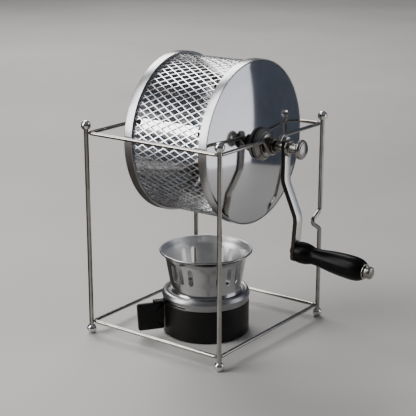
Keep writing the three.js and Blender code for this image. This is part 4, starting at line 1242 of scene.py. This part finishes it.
def port_shapes(low, high):
    drill = turned(tube(0, PORT_DIAMETER / 2, low - CLEAR, high + CLEAR), DRILL_SIDES)
    shapes = []
    for i in range(PORT_COUNT):
        a = radians(LEVER_ANGLE + 180 * (2 * i + 1) / PORT_COUNT)
        at = (BURNER.x + PORT_PLACE * cos(a), BURNER.y + PORT_PLACE * sin(a), 0)
        shapes.append(moved(drill, Matrix.Translation(at)))
    return shapes


def make_regulator():
    top = span("regulator")[1].z
    bottom = top - REGULATOR_SHEET
    plate = looped(tube(COVER_MOUTH / 2, REGULATOR_RADIUS, bottom, top), REGULATOR_ROUND)
    made = new_object("regulator_plate", moved(turned(plate), ON_BURNER))
    carved(made, "DIFFERENCE", *port_shapes(bottom, top))
    dress(made, COVER, "regulator", "regulator")
    turn = turn_at((BURNER.x, BURNER.y, 0), LEVER_ANGLE, "Z")
    half = LEVER_WIDTH / 2
    tongue = rounded_box((LEVER_START, -half, bottom), (LEVER_REACH, half, top), LEVER_ROUND)
    leg_low = (PADDLE_START, -half, top - LEVER_DROP)
    leg = rounded_box(leg_low, (LEVER_REACH, REGULATOR_SHEET - half, top - LEVER_STEP), LEVER_ROUND)
    add_piece("lever_tongue", moved(merged(tongue, leg), turn), ENAMEL, "regulator")

    low, high = span("lever_paddle")
    outer = PADDLE_REACH - PADDLE_SLANT
    corners = [(PADDLE_START, low.z), (outer, low.z), (PADDLE_REACH, high.z), (PADDLE_START, high.z)]
    seat = REGULATOR_SHEET + GAP - half
    blade = slab(looped(corners, PADDLE_CORNER, steps=6), -seat - PADDLE_THICKNESS, -seat, PADDLE_BEVEL)
    paddle = moved(blade, turn @ Matrix.Rotation(pi / 2, 4, "X"))
    add_piece("paddle", paddle, ENAMEL, "regulator", "lever_paddle", sharp=FLAT_SHARP)


def make_cover():
    bottom, top = (corner.z for corner in span("burner_cover"))
    radius = half_width("burner_cover") - COVER_BULGE
    bulge = radius + COVER_BULGE - TRIM
    ledge, well, mouth = COVER_LEDGE / 2, COVER_WELL / 2, COVER_MOUTH / 2
    roll = bottom + COVER_ROLL
    crown = (bulge + ledge) / 2
    outer_fall, inner_fall = COVER_CROWN_FALLS
    inside = radius - BASE_WALL
    ledge_under, well_under = COVER_LEDGE_Z - COVER_SHEET, COVER_WELL_Z - COVER_SHEET
    profile = [
        (radius, bottom),
        *shifted(COVER_ROLL_START, radius, roll),
        *shifted(COVER_ROLL_END, bulge, roll),
        ((bulge + crown) / 2, top - outer_fall),
        (crown, top),
        ((crown + ledge) / 2, top - inner_fall),
        (ledge, COVER_LEDGE_Z),
        (well, COVER_LEDGE_Z),
        (well, COVER_WELL_Z),
        (mouth, COVER_WELL_Z),
        (mouth, well_under),
        (well + COVER_SHEET, well_under),
        (well + COVER_SHEET, ledge_under),
        (ledge, ledge_under),
        (crown, top - COVER_SHEET),
        (inside, roll + COVER_ROLL_UNDER),
        (inside, bottom),
    ]
    ring = turned(looped(profile, COVER_ROUND, steps=4), COVER_SIDES)
    made = new_object("cover_ring", moved(ring, ON_BURNER))
    slot_middle = span("regulator")[1].z - REGULATOR_SHEET / 2
    slot_low, slot_high = slot_middle - SLOT_HEIGHT / 2, slot_middle + SLOT_HEIGHT / 2
    slot = sector(slot_low, slot_high, SLOT_START, SLOT_SPAN, inside - CLEAR, bulge + CLEAR)
    carved(made, "DIFFERENCE", slot, *port_shapes(well_under, COVER_WELL_Z))
    made.data.set_sharp_from_angle(angle=radians(SHARP))
    dress(made, COVER, "burner", "burner_cover")


def make_cup():
    bottom = span("burner_cup")[0].z
    foot, neck, throat = CUP_FOOT / 2, CUP_NECK / 2, CUP_THROAT / 2
    lip = half_width("burner_cup") - CUP_ROLL - TRIM
    neck_z = CUP_FOOT_HEIGHT
    throat_z = neck_z + CUP_WALL_HEIGHT
    flare, flare_z = throat + (lip - throat) * CUP_FLARE, throat_z + CUP_LIP_HEIGHT / 2
    outside = [(foot, 0), (foot, CUP_WALL)]
    outside += [(neck + (foot - neck) * share, z) for share, z in CUP_FOOT_CURVE]
    outside += [(neck + (throat - neck) * s, neck_z + CUP_WALL_HEIGHT * s) for s in CUP_WALL_RINGS]
    outside.append((flare, flare_z))
    inside = [
        (flare - CUP_WALL, flare_z + CUP_WALL),
        (throat - CUP_WALL, throat_z),
        (neck - CUP_WALL, neck_z),
        (neck - CUP_WALL, 0),
    ]
    roll = arc((lip, throat_z + CUP_LIP_HEIGHT), CUP_ROLL, -90, 180)
    profile = softened(outside, CUP_OUTER_ROUND, steps=5) + roll + softened(inside, CUP_INNER_ROUND)
    shell = turned([(r, bottom + z) for r, z in profile], DRUM_SIDES)
    made = new_object("slotted_cup", moved(shell, ON_BURNER))
    slots = []
    half, tall = CUP_SLOT_WIDTH / 2, CUP_SLOT_HEIGHT / 2
    outline = arc((0, tall - half), half, 0, 180) + arc((0, half - tall), half, 180, 360)
    slot_at = (BURNER.x, BURNER.y, bottom + throat_z - CUP_SLOT_DROP - tall)
    slot = prism(outline, (0, 0), neck / 2, foot + throat)
    for count, middle_angle in CUP_SLOT_GROUPS:
        for i in range(count):
            turn = turn_at(slot_at, middle_angle + (i - (count - 1) / 2) * CUP_SLOT_STEP, "Z")
            slots.append(moved(slot, turn))
    carved(made, "DIFFERENCE", merged(*slots))
    made.data.set_sharp_from_angle(angle=radians(CUP_SHARP))
    dress(made, CUP, "cup", "burner_cup")


# Studio. Its lengths are metres.

CAMERA_AT = (0.5499, -0.8031, 0.4023)
CAMERA_AZIMUTH = 36.56
CAMERA_ELEVATION = 16.12
CAMERA_LENS = 99.13
CAMERA_SENSOR = 36
FLOOR_SIZE = 24
FLOOR_SQUARES = 8
SKY_STOPS = ((0, (0.05, 0.052, 0.058)), (0.8, (0.3, 0.31, 0.33)))
SKY_STRENGTH = 0.6
LIGHTS = (  # name, place, target, width, height, radiance, colour
    ("window", (-1.5, 1.1, 1.7), (-0.6, 1.0, 0.0), 1.6, 1.2, 4.5, (1.0, 0.99, 0.97)),
    ("sky", (-0.65, -0.75, 1.35), (0, 0, 0.1), 0.8, 0.7, 3.5, (1.0, 0.99, 0.98)),
    ("front", (-0.7, -0.91, 0.55), (0, 0, 0.15), 0.6, 0.75, 4.0, (1.0, 0.99, 0.98)),
    ("reflector", (0.47, 0.3, 0.21), (0.0, 0.0, 0.2), 0.36, 0.42, 1.05, (0.93, 0.94, 1.0)),
)
CARDS = (  # name, dark, light, corners
    ("card_slate", (0.13, 0.148, 0.185), (0.17, 0.195, 0.245),
     ((0.36, 0.44, 0), (-0.2, 0.62, 0), (-0.2, 0.62, 0.6), (0.36, 0.44, 0.6))),
    ("card_umber", (0.06, 0.052, 0.045), (0.09, 0.078, 0.066),
     ((-0.13, -1.1, 0.001), (-0.13, 0.9, 0.001), (-1.4, 0.9, 0.001), (-1.4, -1.1, 0.001))),
)


def aimed(name, data, at, look):
    made = linked(name, data)
    made.location = at
    made.rotation_euler = look.to_track_quat("-Z", "Y").to_euler()
    return made


def make_camera():
    azimuth, elevation = radians(CAMERA_AZIMUTH), radians(CAMERA_ELEVATION)
    look = Vector((
        -sin(azimuth) * cos(elevation),
        cos(azimuth) * cos(elevation),
        -sin(elevation),
    ))
    data = bpy.data.cameras.new("camera")
    data.lens = CAMERA_LENS
    data.sensor_width = CAMERA_SENSOR
    bpy.context.scene.camera = aimed("camera", data, CAMERA_AT, look)


def area_light(name, at, target, width, height, radiance, color):
    """A soft panel. Its strength is how bright it looks, so a wider panel gives more light."""
    data = bpy.data.lights.new(name, "AREA")
    data.shape = "RECTANGLE"
    data.size = width
    data.size_y = height
    data.energy = radiance * pi * width * height
    data.color = color
    light = aimed(name, data, at, Vector(target) - Vector(at))
    light.visible_camera = False


def dark_card(felt, points):
    """A dark card that shows only in polished metal."""
    mesh = bpy.data.meshes.new("dark_card")
    mesh.from_pydata(points, [], [(0, 1, 2, 3)])
    card = linked("dark_card", mesh)
    card.data.materials.append(felt[0])
    card.visible_camera = False
    card.visible_diffuse = False
    card.visible_shadow = False


def make_sky():
    world = bpy.data.worlds.new("studio")
    world.use_nodes = True
    bpy.context.scene.world = world
    tree = world.node_tree
    background = tree.nodes["Background"]
    place = tree.nodes.new("ShaderNodeTexCoord")
    parts = tree.nodes.new("ShaderNodeSeparateXYZ")
    ramp = tree.nodes.new("ShaderNodeValToRGB")
    set_ramp(ramp, *SKY_STOPS)
    tree.links.new(place.outputs["Generated"], parts.inputs[0])
    tree.links.new(parts.outputs[2], ramp.inputs[0])
    tree.links.new(ramp.outputs[0], background.inputs["Color"])
    background.inputs["Strength"].default_value = SKY_STRENGTH


def make_studio():
    squares = {"x_subdivisions": FLOOR_SQUARES, "y_subdivisions": FLOOR_SQUARES}
    bpy.ops.mesh.primitive_grid_add(size=FLOOR_SIZE, **squares)
    floor = bpy.context.object
    floor.name = "floor"
    pale = mottled("floor_pale", (3, 3), (350, 4), (0.6, 0.585, 0.565), (0.66, 0.645, 0.625),
                   rough=(0.5, 0.62), bump=(0.08, 0.05), wearing=0, metallic=0)
    floor.data.materials.append(pale[0])
    make_sky()
    for light in LIGHTS:
        area_light(*light)
    felts = [card_felt(name, dark, light) for name, dark, light, corners in CARDS]
    for felt, card in zip(felts, CARDS):
        dark_card(felt, card[-1])
    bpy.context.scene.view_settings.look = "AgX - Medium High Contrast"


make_stand()
make_wall()
make_ends()
make_vanes()
make_shaft()
make_crank()
make_base()
make_regulator()
make_cover()
make_cup()
make_camera()
make_studio()
